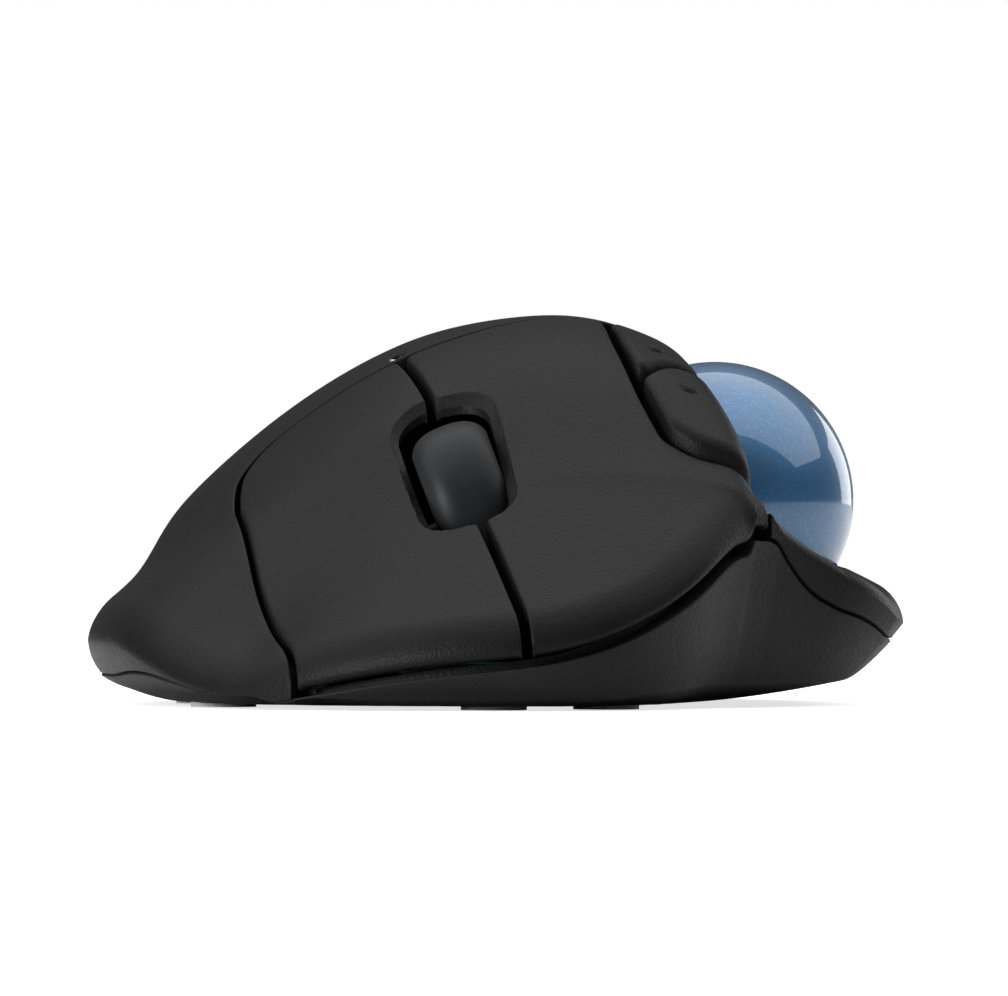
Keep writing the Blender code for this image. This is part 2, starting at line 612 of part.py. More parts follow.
def electronics():
    board = prism([(-22, -42, 3), (-12, -52, 3), (8, -52, 3), (15.5, -44, 3), (15.5, -9, 3),
                   (-22, -9, 3)], BOARD_Z, BOARD_Z + BOARD_T)
    top = BOARD_Z + BOARD_T
    for name, (x, y) in BOARD_SCREWS.items():
        cut(board, rod(x, y, 0, 8, 1.3, 16))
        screw = join(rod(x, y, top + GAP, top + 1.3, 2.1), rod(x, y, 2.6, top + .5, .9, 16))
        cut(screw, box(x - 1.5, x + 1.5, y - .3, y + .3, top + .8, 9))
        finish(screw, f"board_screw_{name}", METAL, .3, 1.0)
    finish(board, "main_board", GREEN, .45)
    switch("left_switch", 8.5, -45.4, top + GAP, (5.8, 12.8, 5.9), 1)
    switch("right_switch", -14, -40.5, top + GAP, (5.8, 12.8, 5.9), 1)
    switch("middle_switch", 2.6, -16.3, top + GAP, (6, 6, 1.5), 1.2)
    switch("forward_switch", 21.0, -27, 25.6, (5, 5, 3.2), 1)
    switch("back_switch", 7.0, -6.2, 36.5, (5, 6, 2.7), 1)
    side = cut(box(1.5, 9.5, -10, 10, 35, 36.2), rod(5.5, 6.5, 30, 40, 1.1, 16))
    finish(side, "side_board", GREEN, .45)
    screw = join(rod(5.5, 6.5, 33.7, 34.7, 2), rod(5.5, 6.5, 34.5, 40, .8, 16))
    finish(screw, "side_board_screw", METAL, .3, 1.0)
    finish(rod(-11.9, -.9, 37, 42.4, .9, 16), "status_light", (.5, .7, .5), .3)


def battery():
    x, y, z = BATTERY
    front, back = y - BATTERY_L / 2, y + BATTERY_L / 2
    along = Matrix.Translation((x, 0, z)) @ Matrix.Rotation(-np.pi / 2, 4, 'X')
    r = BATTERY_R
    profile = [(0, front - 1), (2.7, front - 1), (2.7, front), (r - .8, front), (r, front + .8),
               (r, back - .6), (r - .6, back), (0, back)]
    cell = turned(profile, 40, along, close=False)
    finish(cell, "aa_battery", (.75, .45, .1), .3, .6)
    finish(box(x - 4.5, x + 4.5, -5.6, -5.1, 4.5, 14.5), "battery_plate", METAL, .3, 1.0)
    turns, wire, n = 2.75, .35, 56
    a = np.linspace(0, 2 * np.pi * turns, n)
    radius = np.linspace(2.4, 4.4, n)
    path = np.column_stack([x + radius * np.cos(a), np.linspace(back + .7, back + 4.5, n),
                            z + radius * np.sin(a)])
    curve = bpy.data.curves.new("coil", 'CURVE')
    curve.dimensions, curve.bevel_depth, curve.bevel_resolution = '3D', wire * MM, 1
    curve.use_fill_caps = True
    line = curve.splines.new('POLY')
    line.points.add(n - 1)
    line.points.foreach_set("co", np.column_stack([path * MM, np.ones(n)]).ravel())
    obj = bpy.data.objects.new("coil", curve)
    PARTS.objects.link(obj)
    bpy.context.view_layer.update()
    mesh = bpy.data.meshes.new_from_object(obj.evaluated_get(bpy.context.evaluated_depsgraph_get()))
    bpy.data.objects.remove(obj)
    bm = bmesh.new()
    bm.from_mesh(mesh)
    bmesh.ops.remove_doubles(bm, verts=bm.verts, dist=1e-7)
    finish(from_bmesh(bm), "battery_spring", METAL, .25, 1.0)
    stick = join(box(-29, -18, 12, 20.7, 3.4, 8.0, bevel=.4), box(-28.5, -18.5, 20.2, 32, 3.9, 7.5))
    finish(stick, "usb_receiver", (.03, .03, .03), .35)


shell_and_keys()
side_buttons()
ball_and_cup()
wheel()
case()
underside()
electronics()
battery()
bpy.context.view_layer.update()
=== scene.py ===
# %% [markdown]
# # A thumb trackball mouse
# The mouse is a low plastic hill with a ball set in its side. The imported CAD model is loaded first,
# because every surface made below has to sit where its CAD piece sits. The CAD box is kept.

import bpy
import numpy as np
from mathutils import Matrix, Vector
from mathutils.geometry import delaunay_2d_cdt


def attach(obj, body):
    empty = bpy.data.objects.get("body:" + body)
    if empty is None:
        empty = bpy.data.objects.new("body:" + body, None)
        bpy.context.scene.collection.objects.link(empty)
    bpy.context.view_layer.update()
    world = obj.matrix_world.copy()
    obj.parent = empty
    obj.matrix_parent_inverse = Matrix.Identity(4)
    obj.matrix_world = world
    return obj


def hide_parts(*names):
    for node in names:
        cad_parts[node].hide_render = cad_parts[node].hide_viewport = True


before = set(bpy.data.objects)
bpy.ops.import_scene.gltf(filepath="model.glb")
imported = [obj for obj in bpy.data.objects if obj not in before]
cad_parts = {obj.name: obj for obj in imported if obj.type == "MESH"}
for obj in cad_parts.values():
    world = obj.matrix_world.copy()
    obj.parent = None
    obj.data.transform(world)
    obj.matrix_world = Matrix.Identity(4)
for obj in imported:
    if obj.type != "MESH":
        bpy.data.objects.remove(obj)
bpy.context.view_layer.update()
MM = 0.001

# %% [markdown]
# ## The shape in numbers
# The real shell is one soft skin, cut by narrow seams into keys, buttons and palm rest. The skin is
# described once, as a height over the plan, and every piece takes its height from it, so that
# neighbours always line up. Plan points are in millimetres: +X is the thumb side, -Y the keys.

# %% Outline, crest and rim of the skin
OUTLINE = [(6.3, -66.6), (-10.5, -62.7), (-26, -53), (-39.1, -37), (-47, -16), (-50, 6), (-48, 28),
           (-38.5, 49), (-20, 63), (4, 67), (26, 61), (40, 46), (47, 24), (49.6, 4), (49.9, -10),
           (45.7, -22), (38.8, -29.6), (31.1, -40.3), (25.7, -51.5), (17.6, -61.4)]
BASE = [(8.4, -62.5), (-9.4, -59.5), (-23.9, -51), (-35.9, -35.5), (-43, -16), (-45, 6), (-43, 27),
        (-34, 46), (-18, 58.5), (4, 62), (24, 56.5), (36.5, 43), (42, 23), (42.8, 4), (42.3, -9),
        (39.1, -20), (33.2, -30), (26.8, -39), (22.8, -49), (15.7, -58)]
FLAT = [(6, -56), (-8, -54), (-21, -47), (-32, -32), (-37.5, -14), (-39.5, 6), (-38, 24), (-29, 41),
        (-15, 52.5), (3, 56), (16, 50.5), (22, 38), (24, 22), (24.5, 5), (24.5, -8), (23.5, -18),
        (22, -27), (20.5, -35), (18, -44), (12.5, -52)]
STATIONS = [-67, -50, -35, -20, -6, 8, 25, 42, 58, 67]
CREST = [10.7, 21.5, 30.7, 40, 46, 47.8, 44.5, 34.5, 18, 6]
CREST_X = [12.6, 13.5, 12.8, 11.2, 9, 7, 4, 2, 2, 2]
FALL_LEFT = [.0090, .0096, .0112, .0117, .0117, .0116, .0116, .0116, .0116, .0112]
FALL_RIGHT = [.007, .006, .008, .012, .016, .022, .022, .016, .013, .011]
STEP_X = [30.5, 30.7, 31.2, 28.2, 24.1, 23.6, 28, 34, 45, 50]
STEP_FALL = [3.2, 3.2, 3.2, 3.2, 2.4, 1.5, .8, .4, 0, 0]
WING_Y = [-67, -47, -42, -39, -36, -33, -25, -13, -5]
WING_RISE = [-14, -9, 5, 12.4, 12.5, 9.9, 4.8, .6, 0]
HUB, WALL, LIP = np.array([4.0, -1.0]), 2.0, 3.0

# %% Seams that part the skin: corners as (x, y, corner radius)
RIGHT_KEY = [(4.2, -70, 0), (-12, -3.4, 0.8), (-30.4, -2.6, 5), (-31.3, -12, 60),
             (-28.3, -33, 120), (-23.2, -57, 40), (-20.1, -72, 0)]
LEFT_KEY = [(5.5, -70, 0), (-10.9, -3.4, 0.8), (-4, -2.6, 30), (5.7, 1.4, 40), (13, 3.6, 0.8),
            (14.3, -9, 60), (17.4, -22.5, 60), (20.5, -31.2, 3.5), (24.9, -34.4, 6),
            (32.2, -33.2, 0.8), (34, -39, 0), (40.1, -72, 0)]
KEY_BAY = [(5.3, -71, 0), (40.8, -73, 0), (34.6, -39, 0), (32.8, -32.6, 0.8), (26.5, -24, 0),
           (14, 0, 0), (13.6, 4.3, 0.8), (5.5, 2, 40), (-4.1, -2, 30), (-11.4, -2.8, 10),
           (-31.1, -1.9, 5.6), (-32.0, -12, 60), (-29, -33, 120), (-23.9, -57, 40), (-21.1, -73, 0)]
WHEEL_SLOT = [(-13.9, -17.6, 4.5), (-0.2, -19.2, 6), (3.7, -45.2, 4.5), (-8.1, -43.8, 6)]
FORWARD = [(18.2, -20.9, 1), (21.3, -30.3, 3.2), (25.1, -33, 6), (31.3, -32.2, 2.2), (31, -26, 10),
           (26.4, -15.2, 1), (21.1, -16, 6)]
BACK = [(17.8, -19.8, 1), (15.4, -9, 60), (14, 4, 2.2), (21, 4.2, 3), (23, -1, 15),
        (24.3, -7, 30), (25.8, -13.8, 1), (20.4, -14.8, 6)]
BUTTON_BAY = [(13, 4.8, 1), (14.1, -9, 60), (17.2, -22.5, 60), (20.2, -31.6, 3.5), (24.6, -35, 6),
              (32.2, -33.6, 1.5), (31.6, -25.6, 10), (27.2, -12, 20), (24, 1, 15), (21.6, 4.8, 3)]
DOTS = [(19.8, -11.5), (23.9, -21.8)]

# %% Ball, wheel and underside
BALL, BALL_R, BALL_HOLE = np.array([27.1, -4.0, 25.1]), 17.0, 17.7
OPEN_AXIS = np.array([.78, 0, .62]) / np.hypot(.78, .62)
WHEEL, WHEEL_ROLL, WHEEL_R, WHEEL_W = np.array([-2.2, -27.3, 23.3]), np.radians(20.5), 11.7, 9.6
FLOOR = .5
FEET = [(0, -49), (13.6, -42), (-33, -20), (-35.2, 12), (18.5, 26), (5, 52.6)]
DOOR = [(-28.3, -6.8, 3), (4.3, -6.8, 3), (4.3, 48, 7), (-28.3, 48, 9)]
SLIDER_SLOT = [(-15.5, -18.5, .6), (-5.5, -18.5, .6), (-5.5, -13.5, .6), (-15.5, -13.5, .6)]
CONNECT, LIGHT = (8, -22), (-11.9, -.9)

# %% [markdown]
# ## Curves
# A natural cubic spline turns a few measured stations into a smooth line. The same spline bends
# closed outlines, when the distance walked is used as the knot.

# %% Splines and loops
def spline(knots, values, at):
    """Natural cubic through the knots: a cubic between each two, with matching curvature."""
    x, y = np.asarray(knots, float), np.asarray(values, float)
    n, h = len(x), np.diff(x)
    a, b = np.eye(n), np.zeros((n,) + y.shape[1:])
    for i in range(1, n - 1):
        a[i, i - 1:i + 2] = h[i - 1], 2 * (h[i - 1] + h[i]), h[i]
        b[i] = 6 * ((y[i + 1] - y[i]) / h[i] - (y[i] - y[i - 1]) / h[i - 1])
    m = np.linalg.solve(a, b)
    at = np.clip(np.asarray(at, float), x[0], x[-1])
    k = np.clip(np.searchsorted(x, at) - 1, 0, n - 2)
    wide = (slice(None),) * at.ndim + (None,) * (y.ndim - 1)
    t0, t1, hk = (at - x[k])[wide], (x[k + 1] - at)[wide], h[k][wide]
    return ((m[k] * t1**3 + m[k + 1] * t0**3) / (6 * hk)
            + (y[k] / hk - m[k] * hk / 6) * t1 + (y[k + 1] / hk - m[k + 1] * hk / 6) * t0)


def smooth_loop(points, count):
    """Closed curve through the points; the knot is the walked distance to the power one half."""
    p = np.asarray(points, float)
    q = np.concatenate([p[-3:], p, p[:4]])
    s = np.concatenate([[0], np.cumsum(np.linalg.norm(np.diff(q, axis=0), axis=1) ** 0.5)])
    return spline(s, q, np.linspace(s[3], s[3 + len(p)], count, endpoint=False))


def rounded(corners, step=.8):
    """Polygon whose corners are arcs: each arc touches both sides at r over tan(half angle)."""
    out = []
    for i, (x, y, r) in enumerate(corners):
        p = np.array([x, y], float)
        u = np.array(corners[i - 1][:2]) - p
        v = np.array(corners[(i + 1) % len(corners)][:2]) - p
        room = .49 * min(np.linalg.norm(u), np.linalg.norm(v))
        u, v = u / np.linalg.norm(u), v / np.linalg.norm(v)
        half = np.arccos(np.clip(u @ v, -1, 1)) / 2
        t = min(r / np.tan(half), room)
        r = t * np.tan(half)
        if r < .05:
            out.append(p[None])
            continue
        c = p + (u + v) / np.linalg.norm(u + v) * (r / np.sin(half))
        a0, a1 = (np.arctan2(*(p + w * t - c)[::-1]) for w in (u, v))
        turn = (a1 - a0 + np.pi) % (2 * np.pi) - np.pi
        a = a0 + turn * np.linspace(0, 1, max(4, int(abs(turn) * r / step) + 1))
        out.append(c + r * np.column_stack([np.cos(a), np.sin(a)]))
    return np.concatenate(out)


def circle(x, y, r, count=32):
    """Points at equal angles on a circle."""
    a = np.linspace(0, 2 * np.pi, count, endpoint=False)
    return np.column_stack([x + r * np.cos(a), y + r * np.sin(a)])


def resample(loop, step):
    """The same closed line with points at nearly equal steps along it."""
    closed = np.concatenate([loop, loop[:1]])
    s = np.concatenate([[0], np.cumsum(np.linalg.norm(np.diff(closed, axis=0), axis=1))])
    at = np.linspace(0, s[-1], max(8, int(round(s[-1] / step))), endpoint=False)
    return np.column_stack([np.interp(at, s, closed[:, 0]), np.interp(at, s, closed[:, 1])])


def ease(t):
    """Smooth step from 0 to 1: three t squared less two t cubed."""
    t = np.clip(t, 0, 1)
    return t * t * (3 - 2 * t)


print("outline points:", smooth_loop(OUTLINE, 540).shape[0])

# %% [markdown]
# ## Distances in plan
# Lips, seams and chamfers are all rules about how far a point is from a line. So the two questions
# asked most are "how far is the nearest point of this loop" and "is this point inside it".

# %% Nearest point and inside test
def nearest(loop, points):
    """Distance to a closed loop, and the fractional index of the closest point on it."""
    b, parts = np.roll(loop, -1, axis=0) - loop, []
    for some in np.array_split(points, max(1, len(points) // 3000)):
        to = some[:, None] - loop
        t = np.clip((to * b).sum(-1) / np.maximum((b * b).sum(-1), 1e-12), 0, 1)
        d = np.linalg.norm(to - t[..., None] * b, axis=-1)
        k, row = d.argmin(1), np.arange(len(some))
        parts.append(np.stack([d[row, k], k + t[row, k]]))
    return np.concatenate(parts, axis=1)


def inside(loop, points):
    """Inside when a ray towards +X crosses the loop an odd number of times."""
    a, b, parts = loop, np.roll(loop, -1, axis=0), []
    for some in np.array_split(points, max(1, len(points) // 3000)):
        x, y = some[:, :1], some[:, 1:]
        straddle = (a[:, 1] > y) != (b[:, 1] > y)
        rise = np.where(b[:, 1] == a[:, 1], 1e-9, b[:, 1] - a[:, 1])
        cross_x = a[:, 0] + (y - a[:, 1]) * (b[:, 0] - a[:, 0]) / rise
        parts.append((straddle & (x < cross_x)).sum(1) % 2 == 1)
    return np.concatenate(parts)


def along(values, u):
    """Value of a closed list at a fractional index, straight between neighbours."""
    k = np.floor(u).astype(int)
    t = u - k
    a, b = values[k % len(values)], values[(k + 1) % len(values)]
    return a + (t[:, None] if values.ndim > 1 else t) * (b - a)


def square_to(loop):
    """Unit vectors in plan, square to the loop and pointing towards the hub's side."""
    t = np.roll(loop, -1, axis=0) - np.roll(loop, 1, axis=0)
    n = np.stack([-t[:, 1], t[:, 0]], -1) / np.linalg.norm(t, axis=1)[:, None]
    return n * np.sign(((HUB - loop) * n).sum(1).mean())


RIM, BASE_LOOP, FLAT_LOOP = (smooth_loop(p, 540) for p in (OUTLINE, BASE, FLAT))
RIM_IN, BASE_IN = square_to(RIM), square_to(BASE_LOOP)
print("rim box in mm:", RIM.min(0).round(1), RIM.max(0).round(1))

# %% [markdown]
# ## The skin
# A crest line runs from nose to palm. Both sides fall away as parabolas, the thumb side drops in a
# steep step to make room for the ball, and near the rim the skin flares out again. The two parts are
# joined with a rounded maximum, which leaves a soft valley instead of a crease.

# %% Height of the skin
def skin(points):
    """Rounded maximum of a crown (crest less a parabola) and a flare that rises from the rim."""
    x, y = points.T
    crest, cx, left, right, step_x, fall = (
        spline(STATIONS, v, y) for v in (CREST, CREST_X, FALL_LEFT, FALL_RIGHT, STEP_X, STEP_FALL))
    s = x - cx
    crown = crest - (left + (right - left) / (1 + np.exp(-s / 3))) * s * s
    crown = crown - fall * np.logaddexp(0, x - step_x)
    d = nearest(RIM, points)[0]
    thumb = 1 / (1 + np.exp(-x / 4))
    front, wing, rear = ease((-y - 15) / 38), ease((-y - 4) / 16), ease((y - 25) / 38)
    flare = ((10.6 - 6.6 * front + (.78 - .45 * front) * d) * (1 - thumb)
             + (13 + np.interp(y, WING_Y, WING_RISE)
                + (.62 - .66 * wing) * d - .012 * d * d * (1 - wing)) * thumb)
    flare = flare - 4.5 * rear - .3 * rear * d
    foot = 1.68 * np.logaddexp(0, (9 - d) / 1.2) * (1 - rear) * (1 - thumb) * (1 - front)
    a = crown - foot
    return .5 * (a + flare + np.sqrt((a - flare) ** 2 + (2.5 + 7 * ease((y - 8) / 25) * thumb) ** 2))


def quarter_round(d, r):
    """How far a rounded edge has dropped at distance d from it: a quarter circle of radius r."""
    return r - np.sqrt(np.maximum(r ** 2 - (r - np.minimum(d, r)) ** 2, 0))


def out_of_ball(points, r=BALL_HOLE):
    """Moves points that are inside the ball's hollow straight out to its radius."""
    to = points - BALL
    far = np.linalg.norm(to, axis=-1, keepdims=True)
    return BALL + to * np.maximum(1, r / np.maximum(far, 1e-6))


def out_of_cup(points):
    """For pressed pieces: clear of the ball above the cup's edge, and of the whole cup below it."""
    level = (points - BALL) @ OPEN_AXIS
    r = 18.25 + 1.75 * ease((2.2 - level) / .5)
    return out_of_ball(points, r[:, None])


def ball_loop(height, r=BALL_HOLE, count=240):
    """Where a surface meets the ball's hollow: on each bearing, the first radius that is outside."""
    a, rho = np.linspace(0, 2 * np.pi, count, endpoint=False), np.linspace(.5, 18, 176)
    ray = np.stack([np.cos(a), np.sin(a)], -1)
    grid = BALL[:2] + rho[None, :, None] * ray[:, None]
    z = height(grid.reshape(-1, 2)).reshape(grid.shape[:2])
    gap = np.hypot(rho, z - BALL[2]) - r
    k = np.maximum((gap > 0).argmax(1), 1)
    row = np.arange(count)
    g0, g1 = gap[row, k - 1], gap[row, k]
    at = rho[k - 1] + (rho[k] - rho[k - 1]) * np.clip(-g0 / (g1 - g0), 0, 1)
    return BALL[:2] + at[:, None] * ray


HOLE = ball_loop(skin)
print("ball opening in plan, mm:", np.round(np.ptp(HOLE, axis=0), 1))

# %% [markdown]
# ## Side wall and underside
# Below its widest line the body runs in to a smaller base, and then to the flat part that carries
# the feet. The wall is a quadratic curve in plan shift and in drop. On the thumb side it pulls in
# early, which makes the hollow under the ball's wing.

# %% The wall's curve
RIM_TOP = skin(RIM) - LIP
THUMB_SIDE = 1 / (1 + np.exp(-(RIM[:, 0] - 20) / 5))
BASE_LOW = (1.3 + .7 * ease((-BASE_LOOP[:, 0] - 15) / 20) + 1.7 * ease((BASE_LOOP[:, 0] - 12) / 16))
UNDER_KEYS = (ease((RIM[:, 0] + 30) / 4) * ease((35.5 - RIM[:, 0]) / 2)
              * ease((-RIM[:, 1] - 32) / 4))
WALL_TOP = RIM_TOP - 1.7 * UNDER_KEYS
SEAM_AT = ((1 - THUMB_SIDE) * .48 * ease((RIM[:, 1] + 45) / 35)
           + THUMB_SIDE * .12 * ease((RIM[:, 1] + 37) / 10)) * (1 - UNDER_KEYS)
WALL_LENGTH = np.hypot(np.linalg.norm(BASE_LOOP - RIM, axis=1), WALL_TOP - BASE_LOW)


def wall_point(u, s, inset=0.0):
    """Point on the wall at loop place u and height s, 0 at the rim and 1 at the base."""
    thumb, s = along(THUMB_SIDE, u), np.broadcast_to(s, u.shape)
    shift = 2 * s * (1 - s) * (.1 + .6 * thumb) + s * s
    drop = 2 * s * (1 - s) * (.8 + .15 * thumb) + s * s
    rim, top = along(RIM, u), along(WALL_TOP, u)
    plan = rim + shift[:, None] * (along(BASE_LOOP, u) - rim) + inset * along(RIM_IN, u)
    return np.column_stack([plan, top + drop * (along(BASE_LOW, u) - top)])


def floor_height(points):
    """Underside: flat inside, then rising to the base line by a share of the way, power 1.5."""
    d_base, u = nearest(BASE_LOOP, points)
    d_flat = nearest(FLAT_LOOP, points)[0] * ~inside(FLAT_LOOP, points)
    t = d_flat / np.maximum(d_base + d_flat, 1e-9)
    return FLOOR + (along(BASE_LOW, u) - FLOOR) * t ** 1.5


print("base line heights in mm:", BASE_LOW.min().round(2), "to", BASE_LOW.max().round(2))

# %% [markdown]
# ## From a plan region to a closed plate
# Each moulded piece is a thin plate: a top sheet, an under sheet and a wall round every edge. The
# plan is filled with triangles by a constrained Delaunay fill, which keeps the seam lines as edges.
# Extra points go in rings beside each line, so that its rounded edge has real faces, and on a
# regular lattice elsewhere.

# %% Seeds and triangles
def beside(loops, insets, keep, clear_of=()):
    """Each line's own points, moved square to it by set distances and kept inside the region."""
    found = []
    for loop in loops:
        n = square_to(loop)
        for d in insets:
            for side in (d, -d):
                found.append(np.column_stack([loop + side * n, np.full(len(loop), d)]))
    found = np.concatenate(found)
    found = found[keep(found[:, :2])]
    clear = np.min([nearest(loop, found[:, :2])[0] for loop in loops], axis=0)
    for line, gap in clear_of:
        found, clear = (v[nearest(line, found[:, :2])[0] > gap] for v in (found, clear))
    return found[clear > .93 * found[:, 2]][:, :2]


def lattice(low, high, step, keep, loops, clear):
    """Staggered rows of points, kept inside the region and away from its lines."""
    nx, ny = (int((high[0] - low[0]) / step) + 2, int((high[1] - low[1]) / (step * .866)) + 2)
    i, j = np.meshgrid(np.arange(nx), np.arange(ny), indexing="ij")
    points = np.column_stack([(low[0] + step * (i + .5 * (j % 2))).ravel(),
                              (low[1] + step * .866 * j).ravel()])
    points = points[keep(points)]
    return points[np.min([nearest(loop, points)[0] for loop in loops], axis=0) > clear]


def fill(loops, extra, keep):
    """Counter-clockwise triangles over lines and points, kept where their middles are inside."""
    edges, count = [], 0
    for loop in loops:
        i = np.arange(len(loop))
        edges += np.column_stack([i + count, (i + 1) % len(loop) + count]).tolist()
        count += len(loop)
    start = np.concatenate([*loops, extra])
    verts, _, faces, *_ = delaunay_2d_cdt(start.tolist(), edges, [], 0, 1e-4)
    points, tri = np.array([v[:] for v in verts]), np.array(faces)
    a, b, c = points[tri].transpose(1, 0, 2)
    area = (b - a)[:, 0] * (c - a)[:, 1] - (b - a)[:, 1] * (c - a)[:, 0]
    tri = np.where(area[:, None] < 0, tri[:, ::-1], tri)[np.abs(area) > 1e-7]
    tri = tri[keep(points[tri].mean(1))]
    used, tri = np.unique(tri, return_inverse=True)
    return points[used], tri.reshape(-1, 3)


# %% Plates
def border_of(tri):
    """Directed edges that belong to one triangle only, with the sheet on their left."""
    e = np.concatenate([tri[:, [0, 1]], tri[:, [1, 2]], tri[:, [2, 0]]])
    n = tri.max() + 1
    return e[~np.isin(e[:, 0] * n + e[:, 1], e[:, 1] * n + e[:, 0])]


def piece(name, points, faces, body, stands_for, slot, crease=30):
    """Makes the mesh in metres, shades it smooth up to the crease angle and registers it."""
    mesh = bpy.data.meshes.new(name)
    flat = [f for group in faces for f in group.tolist()]
    mesh.from_pydata((np.asarray(points) * MM).tolist(), [], flat)
    mesh.shade_smooth()
    mesh.set_sharp_from_angle(angle=np.radians(crease))
    obj = bpy.data.objects.new(name, mesh)
    bpy.context.scene.collection.objects.link(obj)
    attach(obj, body)
    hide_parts(*stands_for)
    print(f"{name}: {len(mesh.vertices)} points, {len(mesh.polygons)} faces")
    return obj


def plate(name, tri, top, under, rows, *register, **how):
    """Top sheet, the same triangles turned over below, and rows of wall between their borders."""
    n, e = len(top), border_of(tri)
    rim = np.unique(e)
    at = np.full(n, -1)
    at[rim] = np.arange(len(rim))
    between = [2 * n + k * len(rim) + np.arange(len(rim)) for k in range(len(rows))]
    levels = [rim, *between, n + rim]
    a, b = at[e[:, 0]], at[e[:, 1]]
    walls = [np.column_stack([p[a], q[a], q[b], p[b]]) for p, q in zip(levels, levels[1:])]
    points = np.concatenate([top, under, *rows])
    return piece(name, points, [tri, tri[:, ::-1] + n, *walls], *register, **how)


def straight_rows(top, under, rim, shares):
    """Wall points at the given shares of the way from the top border to the under border."""
    return [top[rim] + s * (under[rim] - top[rim]) for s in shares]


SEAM_RINGS, SEAM_R = (.03, .11, .22, .37), .38
RIM_RINGS = (.03, .12, .27, .5, .82, 1.22, 1.7, 2.3, 3.0, 3.8)

# %% [markdown]
# ## The palm shell
# The shell is the palm rest, the little-finger side and the low wing in front of the ball, in one
# moulding. Its lip turns over the widest line and runs down the wall to the seam with the case.
# Three openings are taken out of its plan: the bay of the two keys, the bay of the thumb buttons,
# and the ball's hole.

# %% Shell
BAY, THUMB_BAY, LIGHT_HOLE = rounded(KEY_BAY, .4), rounded(BUTTON_BAY, .4), circle(*LIGHT, 1.02, 24)


def in_shell(p):
    """Inside the rim and outside every opening."""
    return (inside(RIM, p) & ~inside(BAY, p) & ~inside(THUMB_BAY, p) & ~inside(HOLE, p)
            & ~inside(LIGHT_HOLE, p))


def steep(p):
    """Where the thumb side drops quickly, so that the lattice there is finer."""
    return in_shell(p) & (p[:, 0] > 15) & (p[:, 1] < 45) & (p[:, 0] < 44)


def shell_lines():
    """Every line that the shell's triangles must keep."""
    return [RIM, resample(BAY, .6), resample(THUMB_BAY, .6), HOLE, LIGHT_HOLE]


def make_shell():
    """The palm shell as a plate; its rim wall follows the body's wall down to the case seam."""
    lines = shell_lines()
    extra = np.concatenate([
        beside(lines[1:], SEAM_RINGS, in_shell),
        beside([RIM], RIM_RINGS, in_shell, [(line, .45) for line in lines[1:]]),
        lattice(RIM.min(0), RIM.max(0), 1.25, in_shell, lines, .6),
        lattice(np.array([15, -45]), np.array([44, 45]), .83, steep, lines, .5)])
    plan, tri = fill(lines, extra, in_shell)
    d_rim, u = nearest(RIM, plan)
    d_cut = np.min([nearest(line, plan)[0] for line in lines[1:]], axis=0)
    z = skin(plan) - quarter_round(d_rim, LIP) - quarter_round(d_cut, SEAM_R)
    top = np.column_stack([plan, z])
    slide = WALL * np.clip(1 - d_rim / 8, 0, 1)
    low = plan + slide[:, None] * along(RIM_IN, u)
    z_low = skin(low) - quarter_round(d_rim + slide, LIP) - WALL - 1.2 * ease((2 - d_cut) / 1)
    under = out_of_ball(np.column_stack([low, z_low]))
    rim = np.unique(border_of(tri))
    on_rim, ur, s1 = d_rim[rim] < .02, u[rim], along(SEAM_AT, u[rim])
    down = [wall_point(ur, s1 * s) for s in np.linspace(.12, 1, 9)]
    turn = [wall_point(ur, s1, inset) - [0, 0, fall]
            for inset, fall in ((.1, .2), (.35, .3), (1.7, .3))]
    back = [wall_point(ur, s1 * s, WALL) for s in (.9, .5)]
    cut = straight_rows(top, under, rim, np.linspace(0, 1, 16)[1:-1])
    rows = [np.where(on_rim[:, None], a, out_of_ball(b)) for a, b in zip(down + turn + back, cut)]
    return plate("palm_shell", tri, top, under, rows, "base", ["top_shell"], "textured_black")


SHELL = make_shell()

# %% [markdown]
# ## The two keys
# The keys are long fingers of the same skin, hinged under the palm. Their free ends hang over the
# nose as soft lips with nothing under them, so their rim turns in at once. Together they leave a
# slanting slot for the wheel, whose edge is chamfered.

# %% Keys
WHEEL_EDGE = resample(rounded(WHEEL_SLOT, .3), .55)
TO_MIDDLE = ((WHEEL_EDGE.mean(0) - WHEEL_EDGE) * square_to(WHEEL_EDGE)).sum(1)
WHEEL_MOUTH = WHEEL_EDGE + np.where(TO_MIDDLE > 0, 1.0, -1.0)[:, None] * square_to(WHEEL_EDGE)


